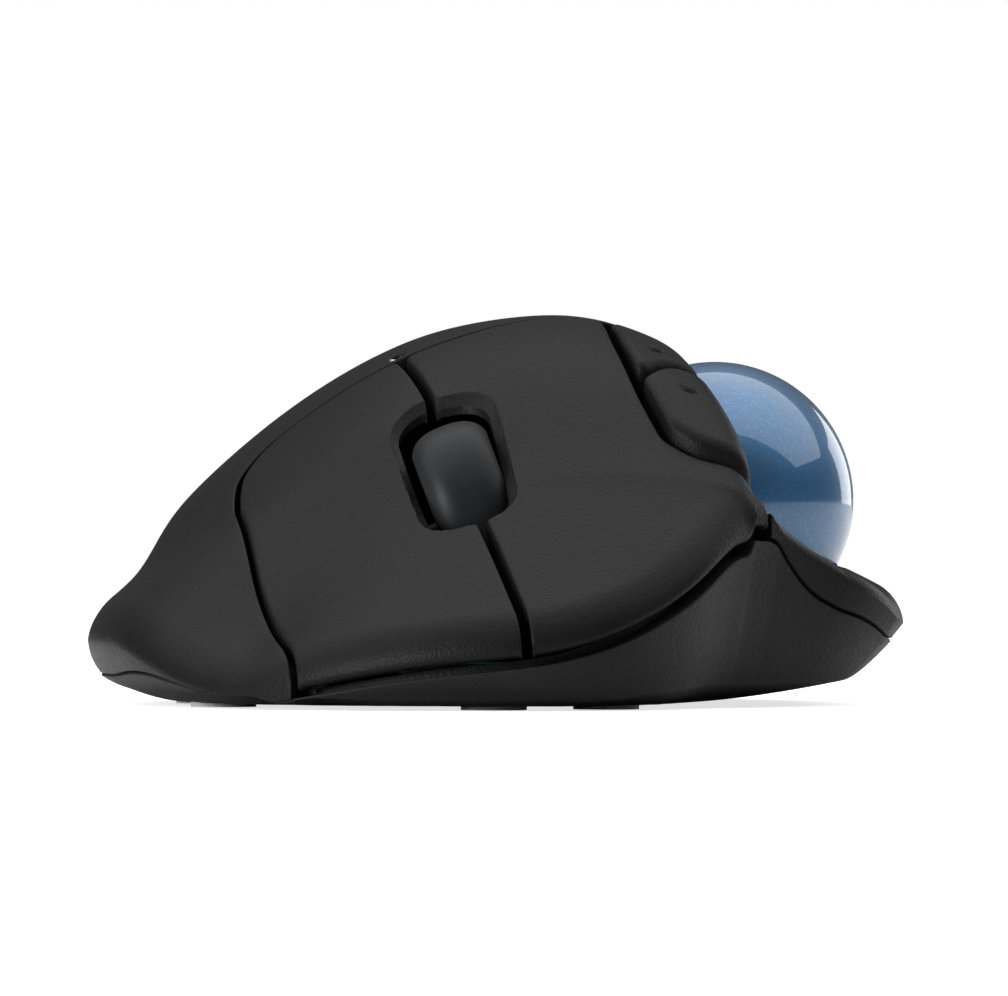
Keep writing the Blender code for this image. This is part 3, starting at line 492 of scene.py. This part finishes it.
def make_key(name, outline):
    """One key as a plate, with its lip, its seams and its part of the wheel's chamfer."""
    shape = resample(rounded(outline, .4), .6)

    def keep(p):
        return inside(shape, p) & inside(RIM, p) & ~inside(WHEEL_MOUTH, p) & ~inside(HOLE, p)
    lines = [shape, RIM, WHEEL_MOUTH, WHEEL_EDGE, HOLE]
    cuts = [shape, HOLE]
    extra = np.concatenate([
        beside([shape, HOLE], SEAM_RINGS, keep), beside([RIM], RIM_RINGS, keep, [(shape, .45)]),
        beside([WHEEL_EDGE], (.1, .5), keep, [(shape, .45)]),
        lattice(shape.min(0), shape.max(0), 1.1, keep, lines, .5)])
    plan, tri = fill(lines, extra, keep)
    d_rim, u = nearest(RIM, plan)
    d_cut = np.min([nearest(line, plan)[0] for line in cuts], axis=0)
    d_mouth = nearest(WHEEL_MOUTH, plan)[0]
    chamfer = np.where(inside(WHEEL_EDGE, plan), .95 * (1 - np.clip(d_mouth / 1.0, 0, 1)) + .07, 0)
    z = skin(plan) - quarter_round(d_rim, LIP) - quarter_round(d_cut, SEAM_R) - chamfer
    top = np.column_stack([plan, z])
    slide = WALL * np.clip(1 - d_rim / 8, 0, 1)
    low = plan + slide[:, None] * along(RIM_IN, u)
    z_low = (skin(low) - quarter_round(d_rim + slide, LIP) - WALL
             - 1.4 * ease((2 - d_cut) / 1) * (d_rim > 2.5) * (d_mouth > 2.5))
    under = out_of_ball(np.column_stack([low, np.minimum(z_low, z - 1)]))
    rim = np.unique(border_of(tri))
    on_rim, edge = d_rim[rim] < .02, along(RIM_IN, u[rim])
    lip = [top[rim] + np.column_stack([inset * edge, np.full(len(rim), -fall)])
           for inset, fall in ((.03, .22), (.14, .45), (.36, .65), (.7, .78), (1.2, .8), (1.8, .7))]
    cut = straight_rows(top, under, rim, np.linspace(0, 1, 8)[1:-1])
    inner_lip = top[rim] + np.column_stack([2.1 * edge, np.full(len(rim), .3)])
    under[rim] = np.where(on_rim[:, None], inner_lip, under[rim])
    rows = [np.where(on_rim[:, None], a, out_of_ball(b)) for a, b in zip(lip, cut)]
    return plate(name + "_cap", tri, top, under, rows, name, [name], "textured_black")


KEYS = [make_key("left_key", LEFT_KEY), make_key("right_key", RIGHT_KEY)]

# %% [markdown]
# ## Thumb buttons
# The two buttons stand proud of the skin, more at the front than at the back, so that the thumb
# finds them. Each has a rounded edge and one small raised dot. The dot is a bump in the same height
# function, with a patch of closer points under it.

# %% Buttons
def button_height(points):
    """Skin plus a rise of 0.1 mm at the back growing to 1.9 mm at the front."""
    return skin(points) + .1 + 1.8 * ease((4 - points[:, 1]) / 34)


def make_button(name, outline, dot, deep):
    """A button as a thick plate, rounded at its edge and hollowed where the ball passes."""
    shape, hole = resample(rounded(outline, .3), .5), ball_loop(button_height, 18.2)

    def keep(p):
        return inside(shape, p) & ~inside(hole, p)
    spot = np.concatenate([circle(*dot, r, 20) for r in (.2, .45, .7, .85, .95, 1.02, 1.1, 1.18, 1.3)])
    grid = lattice(shape.min(0), shape.max(0), .7, keep, [shape, hole], .3)
    extra = np.concatenate([beside([shape], (.06, .18, .36, .6, .9, 1.2), keep, [(hole, .5)]),
                            beside([hole], (.08, .22, .42), keep, [(shape, .3)]), spot,
                            grid[np.linalg.norm(grid - dot, axis=1) > 1.35]])
    plan, tri = fill([shape, hole], extra, keep)
    d_edge, d_hole = nearest(shape, plan)[0], nearest(hole, plan)[0]
    from_dot = np.linalg.norm(plan - dot, axis=1)
    bump = (.42 * np.sqrt(np.clip(1 - (from_dot / .95) ** 2, 0, 1))
            - .16 * np.exp(-((from_dot - 1.1) / .14) ** 2))
    z = button_height(plan) - quarter_round(d_edge, 1.1) - quarter_round(d_hole, .45) + bump
    top = out_of_ball(np.column_stack([plan, z]), 17.95)
    under = out_of_cup(np.column_stack([plan, np.minimum(button_height(plan) - deep, z - .8)]))
    rim = np.unique(border_of(tri))
    rows = [out_of_cup(r) for r in straight_rows(top, under, rim, (.15, .3, .45, .6, .75, .9))]
    return plate(name + "_cap", tri, top, under, rows, name, [name], "button_black")


BUTTONS = [make_button("forward_button", FORWARD, DOTS[1], 5.4),
           make_button("back_button", BACK, DOTS[0], 3.5)]

# %% [markdown]
# ## The case
# The case is the tray that everything is screwed to. In plan it is the base line, less the battery
# door and the openings for the switch, the reset button and the peg hole under the ball. Its outer
# wall climbs the same curve that the shell comes down, and stops one seam's width short of it.

# %% Case
DOOR_HOLE, SLIDE_HOLE = resample(rounded(DOOR), 1.0), rounded(SLIDER_SLOT)
CASE_HOLES = [DOOR_HOLE, SLIDE_HOLE, circle(*CONNECT, 2.9, 32), circle(*BALL[:2], 5.5, 40)]
FOOT_EDGES = [circle(x, y, r, 40) for x, y in FEET for r in (4.3, 4.12)]


def in_case(p):
    """Inside the base line and outside the door and the small openings."""
    return inside(BASE_LOOP, p) & ~np.any([inside(hole, p) for hole in CASE_HOLES], axis=0)


def make_case():
    """The case as a plate whose top sheet is the inside floor and whose rim wall goes up and over."""
    lines = [BASE_LOOP, *CASE_HOLES]
    extra = np.concatenate([
        *FOOT_EDGES, beside(CASE_HOLES, (.12, .3), in_case),
        beside([BASE_LOOP], (.4, .9, 1.6, 2.6), in_case, [(edge, .4) for edge in FOOT_EDGES]),
        lattice(BASE_LOOP.min(0), BASE_LOOP.max(0), 2.2, in_case, lines + FOOT_EDGES, .7)])
    plan, tri = fill(lines, extra, in_case)
    d_base, u = nearest(BASE_LOOP, plan)
    from_foot = np.min([np.linalg.norm(plan - foot, axis=1) for foot in FEET], axis=0)
    d_cut = np.min([nearest(hole, plan)[0] for hole in CASE_HOLES], axis=0)
    floor = floor_height(plan)
    z = floor + .55 * ease((4.3 - from_foot) / .18) + quarter_round(d_cut, .25)
    under = np.column_stack([plan, z])
    slide = WALL * np.clip(1 - d_base / 8, 0, 1)
    top = np.column_stack([plan + slide[:, None] * along(BASE_IN, u), np.maximum(floor + 2, 2.5)])
    rim = np.unique(border_of(tri))
    on_rim, ur = d_base[rim] < .02, u[rim]
    s1 = along(SEAM_AT, ur) + .38 / along(WALL_LENGTH, ur)
    k = along(UNDER_KEYS, ur)[:, None]
    climb = [wall_point(ur, s1 + (1 - s1) * s, WALL) for s in (.7, .35, .1)]
    inward, up = np.column_stack([along(RIM_IN, ur), 0 * ur]), np.array([0, 0, 1.0])
    baffle = [wall_point(ur, s1, WALL) + k * (shift * inward + rise * up)
              for shift, rise in ((1.8, -.6), (1.8, .95), (.9, .95), (.8, -.1), (0, 0))]
    over = [wall_point(ur, s1, inset) + [0, 0, rise]
            for inset, rise in ((1.2, 0), (.45, 0), (.12, -.08), (0, -.32))]
    down = [wall_point(ur, s1 + (1 - s1) * s) - [0, 0, .32 * (1 - s) ** 3]
            for s in (.06, .13, .22, .33, .45, .58, .7, .82, .92)]
    cut = straight_rows(top, under, rim, np.linspace(0, 1, 23)[1:-1])
    rows = [np.where(on_rim[:, None], a, b) for a, b in zip(climb + baffle + over + down, cut)]
    return plate("lower_case", tri, top, under, rows, "base", ["bottom_case"], "textured_black")


CASE = make_case()

# %% [markdown]
# ## Ball and wheel
# The ball is a ground sphere, made as a grid of latitude and longitude with its poles closed. The
# tyre and its hub are turned: a closed profile is carried round the axle. The tyre's flanks are
# nearly flat and its tread has soft shoulders, as a finger wears it.

# %% Round pieces
def turn_grid(profile, steps):
    """Profile of (radius, height) carried round Z; the grid's second parameter is the angle."""
    a = np.linspace(0, 2 * np.pi, steps, endpoint=False)
    r, h = np.asarray(profile, float).T
    return np.stack([r[:, None] * np.cos(a), r[:, None] * np.sin(a), h[:, None] + 0 * a], -1)


def grid_faces(rows, cols, closed):
    """Quads of a grid that wraps round its columns, and round its rows when closed."""
    i, j = np.meshgrid(np.arange(rows if closed else rows - 1), np.arange(cols), indexing="ij")
    i, j, k, m = i.ravel(), j.ravel(), ((i + 1) % rows).ravel(), ((j + 1) % cols).ravel()
    return np.column_stack([i * cols + j, i * cols + m, k * cols + m, k * cols + j])


def wheel_place(points):
    """Turns the Z axis of a turned shape on to the axle and moves it to the wheel's middle."""
    c, s = np.cos(WHEEL_ROLL), np.sin(WHEEL_ROLL)
    x, y, z = points.reshape(-1, 3).T
    return np.column_stack([z * c - x * s, y, z * s + x * c]) + WHEEL


def make_ball():
    """Sphere: radius times the sine and cosine of latitude, with one point at each pole."""
    lat = np.linspace(-np.pi / 2, np.pi / 2, 97)[1:-1]
    body = turn_grid(np.column_stack([np.cos(lat), np.sin(lat)]) * BALL_R, 160).reshape(-1, 3)
    n, m = len(lat), 160
    points = np.concatenate([body, [[0, 0, -BALL_R], [0, 0, BALL_R]]]) + BALL
    j = np.arange(m)
    low = np.column_stack([(j + 1) % m, j, np.full(m, n * m)])
    high = np.column_stack([(n - 1) * m + j, (n - 1) * m + (j + 1) % m, np.full(m, n * m + 1)])
    return piece("ball", points, [grid_faces(n, m, False), low, high], "ball", ["trackball"], "ball_blue")


def soft_profile(corners, radii):
    """Closed profile whose corners are rounded arcs."""
    return rounded([(x, y, r) for (x, y), r in zip(corners, radii)], .25)


def make_round(name, profile, steps, node, slot):
    """A turned piece on the wheel's axle."""
    grid = turn_grid(profile, steps)
    r, h = profile.T
    area = np.sum(r * np.roll(h, -1) - np.roll(r, -1) * h)
    faces = grid_faces(len(profile), steps, True)
    return piece(name, wheel_place(grid), [faces if area > 0 else faces[:, ::-1]],
                 "wheel", [node], slot)


BALL_PIECE = make_ball()
TREAD_TURN, TREAD_LOW, TYRE_INSIDE = 1.35, 8.3, 9.3
across = np.sin(np.linspace(-1, 1, 41) * TREAD_TURN)
tread = TREAD_LOW + (WHEEL_R - TREAD_LOW) * (1 - np.abs(across) ** 2.6) ** (1 / 2.2)
flank = WHEEL_W / 2 * across / np.sin(TREAD_TURN)
TYRE_PROFILE = np.column_stack([np.maximum(tread, TYRE_INSIDE), flank])
TYRE = make_round("tyre", TYRE_PROFILE, 160, "wheel_tyre", "tyre_rubber")
HUB_PROFILE = soft_profile(
    [(1.1, 3.3), (3, 3.3), (3, 1.6), (7.6, 1.6), (7.6, 4.3), (9.2, 4.3),
     (9.2, -4.3), (7.6, -4.3), (7.6, -1.6), (3, -1.6), (3, -3.3), (1.1, -3.3)],
    [.2, .3, .5, .6, .3, .1, .1, .3, .6, .5, .3, .2])
HUB_PIECE = make_round("hub", HUB_PROFILE, 96, "wheel_hub", "inner_grey")

# %% [markdown]
# ## Shader maths
# Finishes are small formulas: a mask times a number, plus another mask. A class that wraps a node's
# output lets Python's own operators add the Math nodes, so that a material reads like the formula.

# %% Fields and finishes
class Field:
    """One output in a node tree; adding, multiplying and so on add a Math node."""

    def __init__(self, tree, socket):
        self.tree, self.socket = tree, socket

    def math(self, kind, *values):
        """A Math node of this kind on the values, which are fields or numbers."""
        node = self.tree.nodes.new("ShaderNodeMath")
        node.operation = kind
        for socket, value in zip(node.inputs, values):
            plug(self.tree, socket, value)
        return Field(self.tree, node.outputs[0])

    def __add__(self, other): return self.math("ADD", self, other)
    def __radd__(self, other): return self.math("ADD", other, self)
    def __sub__(self, other): return self.math("SUBTRACT", self, other)
    def __rsub__(self, other): return self.math("SUBTRACT", other, self)
    def __mul__(self, other): return self.math("MULTIPLY", self, other)
    def __rmul__(self, other): return self.math("MULTIPLY", other, self)


def plug(tree, socket, value):
    """Links a field to a socket, or sets the socket's own number."""
    if isinstance(value, Field):
        tree.links.new(value.socket, socket)
    else:
        socket.default_value = value


class Finish:
    """A material: its node tree, its Principled shader, and one way to add any other node."""

    def __init__(self, name, **constants):
        self.made = bpy.data.materials.new(name)
        self.made.use_nodes = True
        self.tree = self.made.node_tree
        self.shader = self.tree.nodes["Principled BSDF"]
        for socket, value in constants.items():
            self.set(socket.replace("_", " "), value)
        self.place = self.node("ShaderNodeTexCoord", out="Object")

    def set(self, socket, value):
        """Puts a field or a constant on one of the shader's sockets."""
        plug(self.tree, self.shader.inputs[socket], value)

    def node(self, kind, settings=None, inputs=None, out=0):
        """Adds a node, sets its properties first and then its sockets, and returns one output."""
        made = self.tree.nodes.new(kind)
        for key, value in (settings or {}).items():
            setattr(made, key, value)
        for key, value in (inputs or {}).items():
            plug(self.tree, made.inputs[key], value)
        return Field(self.tree, made.outputs[out])

    def noise(self, scale, detail=2.0, roughness=.5, at=None):
        """Cloudy values round one half, with features about one over scale metres wide."""
        return self.node("ShaderNodeTexNoise", None, {
            "Vector": at or self.place, "Scale": scale, "Detail": detail, "Roughness": roughness})

    def cells(self, scale, feature="F1", out="Distance"):
        """Distance to the nearest of scattered points, which gives round cells."""
        return self.node("ShaderNodeTexVoronoi", {"feature": feature},
                         {"Vector": self.place, "Scale": scale}, out)

    def ramp(self, value, low, high, to_low=0.0, to_high=1.0):
        """Straight change from one number to another, held flat outside the two ends."""
        return self.node("ShaderNodeMapRange", {"clamp": True}, {
            "Value": value, "From Min": low, "From Max": high, "To Min": to_low, "To Max": to_high})

    def blend(self, share, first, second):
        """Colour that goes from the first to the second as the share goes from 0 to 1."""
        made = self.tree.nodes.new("ShaderNodeMix")
        made.data_type = "RGBA"
        plug(self.tree, made.inputs["Factor"], share)
        for socket, colour in ((made.inputs[6], first), (made.inputs[7], second)):
            plug(self.tree, socket, colour if isinstance(colour, Field) else (*colour, 1))
        return Field(self.tree, made.outputs[2])

    def bump(self, height, depth, strength=1.0):
        """Feeds a height between 0 and 1 to the shader's normal, as a relief of this depth."""
        self.set("Normal", self.node("ShaderNodeBump", None, {
            "Height": height, "Distance": depth, "Strength": strength}))


print("shader helpers ready")

# %% [markdown]
# ## Moulded plastic
# The body is black plastic with a fine leather-like grain etched into the mould. Round cells of
# about half a millimetre give the grain, their edges catch the light, and a slow noise keeps large
# areas from looking printed. The grain also makes the surface a little duller in its valleys.

# %% Plastics
def moulded(name, colour, cell, depth, roughness):
    """Grained plastic: cells for the pebbles, fine noise on them, slow noise for colour."""
    f = Finish(name, IOR=1.47, Specular_IOR_Level=.1)
    pebble = f.ramp(f.cells(1 / cell, "SMOOTH_F1"), .12, .62)
    fine, slow = f.noise(4 / cell, 2), f.noise(60, 3)
    height = (1 - pebble) * .8 + fine * .3
    f.bump(height, depth)
    f.set("Roughness", roughness + .08 * (pebble - .4) + .1 * (slow - .5))
    dark, light = [c * .7 for c in colour], [c * 1.4 for c in colour]
    f.set("Base Color", f.blend(f.ramp(slow * .6 + fine * .4, .35, .65), dark, light))
    return f.made


TEXTURED = moulded("textured_black", (.0056, .0056, .0059), .00040, .000036, .42)
BUTTON = moulded("button_black", (.0050, .0050, .0053), .00036, .00004, .42)
CASE_BLACK = moulded("case_black", (.0105, .0105, .0108), .00044, .00005, .42)
DOOR_BLACK = moulded("door_black", (.014, .014, .0145), .00060, .00003, .52)
INNER = moulded("inner_grey", (.075, .075, .08), .0012, .00004, .45)
CONTROL = moulded("control_grey", (.2, .2, .2), .0006, .00004, .42)
COMPONENT = moulded("component_black", (.025, .025, .028), .0009, .00003, .38)
SOCKET = moulded("socket_grey", (.016, .016, .017), .0010, .00002, .4)

# %% [markdown]
# ## Ball, rubber and metal
# The ball is cast resin with fine mica under a polished skin, so it is a deep blue base with sparse
# metal flecks and a clear coat. Rubber is smooth but never even: handling leaves slow patches of
# shine. Small metal parts are brushed, which is noise stretched one way.

# %% Pearl blue
def pearl():
    """Deep blue with a slow swirl, small flecks that turn metallic, and a clear coat over it."""
    f = Finish("ball_blue", IOR=1.5, Coat_Weight=1.0, Coat_Roughness=.03, Coat_IOR=1.62)
    swirl, fleck = f.noise(110, 4, .6), f.cells(5200, "F1", "Color")
    spark = f.node("ShaderNodeSeparateColor", None, {"Color": fleck}, "Red")
    mica = f.ramp(spark, .62, .98)
    blue = f.blend(f.ramp(swirl, .3, .7), (.012, .092, .215), (.015, .108, .25))
    f.set("Base Color", f.blend(mica * .3, blue, (.09, .26, .50)))
    f.set("Metallic", .55 + .2 * mica)
    f.set("Roughness", .42 - .06 * mica)
    f.bump(f.noise(3200, 1), .000004, .4)
    return f.made


def rubber(name, colour, roughness):
    """Smooth rubber: a dull base with slow patches of shine and a faint skin texture."""
    f = Finish(name, IOR=1.5, Specular_IOR_Level=.16)
    patch, fine = f.noise(220, 3), f.noise(5200, 2)
    dark, light = [c * .85 for c in colour], [c * 1.2 for c in colour]
    f.set("Base Color", f.blend(f.ramp(patch, .3, .7), dark, light))
    f.set("Roughness", roughness + .14 * (patch - .5))
    f.bump(fine, .00001)
    return f.made


def metal(name, colour, roughness):
    """Bright metal with brush lines: noise squeezed along one direction."""
    f = Finish(name)
    squeezed = f.node("ShaderNodeMapping", None, {"Vector": f.place, "Scale": (1, 1, 9)})
    lines = f.noise(2600, 3, .6, squeezed)
    f.set("Metallic", 1.0)
    f.set("Base Color", f.blend(lines, [c * .85 for c in colour], colour))
    f.set("Roughness", roughness + .18 * (lines - .5))
    f.bump(lines, .00001)
    return f.made


PEARL = pearl()
TYRE_RUBBER = rubber("tyre_rubber", (.010, .0107, .0122), .44)
FOOT_PAD = rubber("foot_pad", (.62, .62, .60), .45)
STEEL = metal("steel", (.66, .66, .64), .28)
AXLE = metal("blackened_steel", (.05, .05, .052), .5)

# %% [markdown]
# ## Inside parts
# The circuit boards, the cell and the optics are mostly hidden, but a reused part is opened by
# somebody one day. Boards get copper runs under green mask, the cell a two-colour sleeve, and the
# small optics a polish with fine haze.

# %% Boards, cell and optics
def board():
    """Green mask: diamond-like cells show where the copper lies under it, and raise it slightly."""
    f = Finish("board_green", IOR=1.5)
    cell = f.node("ShaderNodeTexVoronoi", {"distance": "MANHATTAN"},
                  {"Vector": f.place, "Scale": 420.0}, "Distance")
    run = f.ramp(cell, .35, .5)
    f.set("Base Color", f.blend(run, (.012, .085, .04), (.02, .16, .075)))
    f.set("Roughness", .36 + .12 * f.noise(900, 2))
    f.bump(run, .00003)
    return f.made


def sleeve():
    """The cell's printed sleeve: dark for most of its length, copper at one end."""
    f = Finish("battery_wrap", IOR=1.5, Coat_Weight=.3, Coat_Roughness=.15)
    y = f.node("ShaderNodeSeparateXYZ", None, {"Vector": f.place}, "Y")
    copper = f.ramp(y, .0108, .0112, 1, 0)
    f.set("Base Color", f.blend(copper, (.018, .018, .02), (.62, .30, .12)))
    f.set("Metallic", copper * .8 + .05)
    f.set("Roughness", .26 + .12 * f.noise(500, 3))
    f.bump(f.noise(700, 2), .00002)
    return f.made


def polished(name, colour, roughness, glow=0.0):
    """Polished small part with a fine haze; glow adds light of its own colour."""
    f = Finish(name, IOR=1.5, Coat_Weight=.6, Coat_Roughness=.05)
    haze = f.noise(1500, 3)
    f.set("Base Color", f.blend(haze, [c * .9 for c in colour], colour))
    f.set("Roughness", roughness + .08 * haze)
    f.bump(haze, .000005)
    if glow:
        f.set("Emission Color", (*colour, 1))
        f.set("Emission Strength", glow)
    return f.made


BOARD, SLEEVE = board(), sleeve()
LENS = polished("clear_lens", (.55, .58, .6), .06)
CERAMIC = polished("ceramic", (.75, .72, .66), .12)
STATUS = polished("status_light", (.30, .34, .30), .2)

# %% Dress every piece
DRESS = {
    SOCKET: ["ball_socket", "wheel_carriage"], AXLE: ["wheel_axle"],
    CONTROL: ["power_slider", "connect_button"],
    COMPONENT: ["back_switch", "forward_switch", "left_switch", "middle_switch", "right_switch",
                "wheel_encoder", "optical_sensor", "usb_receiver"],
    BOARD: ["main_board", "side_board", "sensor_board"], SLEEVE: ["aa_battery"], LENS: ["sensor_lens"],
    CERAMIC: ["bearing_ball_1", "bearing_ball_2", "bearing_ball_3"], STATUS: ["status_light"],
    STEEL: ["battery_plate", "battery_spring", "board_screw_1", "board_screw_2", "board_screw_3",
            "case_screw_1", "case_screw_2", "case_screw_3", "case_screw_4", "side_board_screw"],
    FOOT_PAD: ["foot_front", "foot_front_thumb", "foot_rear", "foot_side_front",
               "foot_side_rear", "foot_thumb"],
    DOOR_BLACK: ["battery_door"]}
for made, names in DRESS.items():
    for name in names:
        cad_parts[name].material_slots[0].material = made
for obj, made in [(SHELL, TEXTURED), (CASE, CASE_BLACK), (BALL_PIECE, PEARL), (TYRE, TYRE_RUBBER),
                  (HUB_PIECE, INNER), *((k, TEXTURED) for k in KEYS), *((b, BUTTON) for b in BUTTONS)]:
    obj.data.materials.append(made)
print("dressed:", sum(map(len, DRESS.values())), "CAD nodes and 9 surfaces")

# %% [markdown]
# ## Studio
# The mouse stands on a plain pale floor in soft light: a large panel overhead, which is also the
# bright patch in the ball, a small low window at the left, and a panel behind at the right for the
# ball's edge. The floor and world look brighter to the camera than they are as light on the mouse.
# The camera is low and far away with a long lens, so there is almost no perspective.

# %% Floor, light and camera
def studio():
    """Builds the floor, the world, three panels and the camera."""
    s = 60.0
    floor_mesh = bpy.data.meshes.new("floor")
    floor_mesh.from_pydata([(-s, -s, 0), (s, -s, 0), (s, s, 0), (-s, s, 0)], [], [(0, 1, 2, 3)])
    floor = bpy.data.objects.new("floor", floor_mesh)
    bpy.context.scene.collection.objects.link(floor)
    paper = Finish("paper", Roughness=.9)
    paper.set("Base Color", paper.blend(paper.noise(40, 2), (.90, .90, .90), (.92, .92, .92)))
    seen = paper.node("ShaderNodeLightPath", out="Is Camera Ray")
    paper.set("Emission Color", paper.blend(seen, (0, 0, 0), (.72, .72, .72)))
    paper.set("Emission Strength", 1.0)
    floor_mesh.materials.append(paper.made)
    world = bpy.data.worlds.new("studio")
    world.use_nodes = True
    tree = world.node_tree
    place = Field(tree, tree.nodes.new("ShaderNodeTexCoord").outputs["Generated"])
    split = tree.nodes.new("ShaderNodeSeparateXYZ")
    plug(tree, split.inputs[0], place)
    up = Field(tree, split.outputs["Z"]).math("MAXIMUM", Field(tree, split.outputs["Z"]), 0.0)
    seen = Field(tree, tree.nodes.new("ShaderNodeLightPath").outputs["Is Camera Ray"])
    sky = .10 + .50 * up * up
    plug(tree, tree.nodes["Background"].inputs["Strength"], seen + (1 - seen) * sky)
    tree.nodes["Background"].inputs["Color"].default_value = (1, 1, 1, 1)
    bpy.context.scene.world = world
    bpy.context.scene.view_settings.view_transform = "Standard"
    middle = Vector((0, 0, .02))
    for name, place, size, power in (("overhead", (0, .10, .62), (3.0, .95), 13.0),
                                     ("window", (-.80, -.50, .22), (.35, .40), 7.0),
                                     ("edge", (.75, 1.0, .16), (.6, .6), 2.4)):
        lamp = bpy.data.lights.new(name, "AREA")
        lamp.shape, lamp.size, lamp.size_y, lamp.energy = "RECTANGLE", *size, power
        lit = bpy.data.objects.new(name, lamp)
        lit.location = place
        if name != "overhead":
            lit.rotation_euler = (middle - Vector(place)).to_track_quat("-Z", "Y").to_euler()
        bpy.context.scene.collection.objects.link(lit)
    target, rise = Vector((.00123, 0, .02537)), np.radians(.3)
    lens = bpy.data.cameras.new("camera")
    lens.sensor_width, lens.lens, lens.clip_end = 36.0, 872.0, 500.0
    camera = bpy.data.objects.new("camera", lens)
    camera.location = target + 3.0 * Vector((0, -np.cos(rise), np.sin(rise)))
    camera.rotation_euler = (target - camera.location).to_track_quat("-Z", "Y").to_euler()
    bpy.context.scene.collection.objects.link(camera)
    bpy.context.scene.camera = camera
    print("camera at", np.round(camera.location, 4).tolist())


studio()
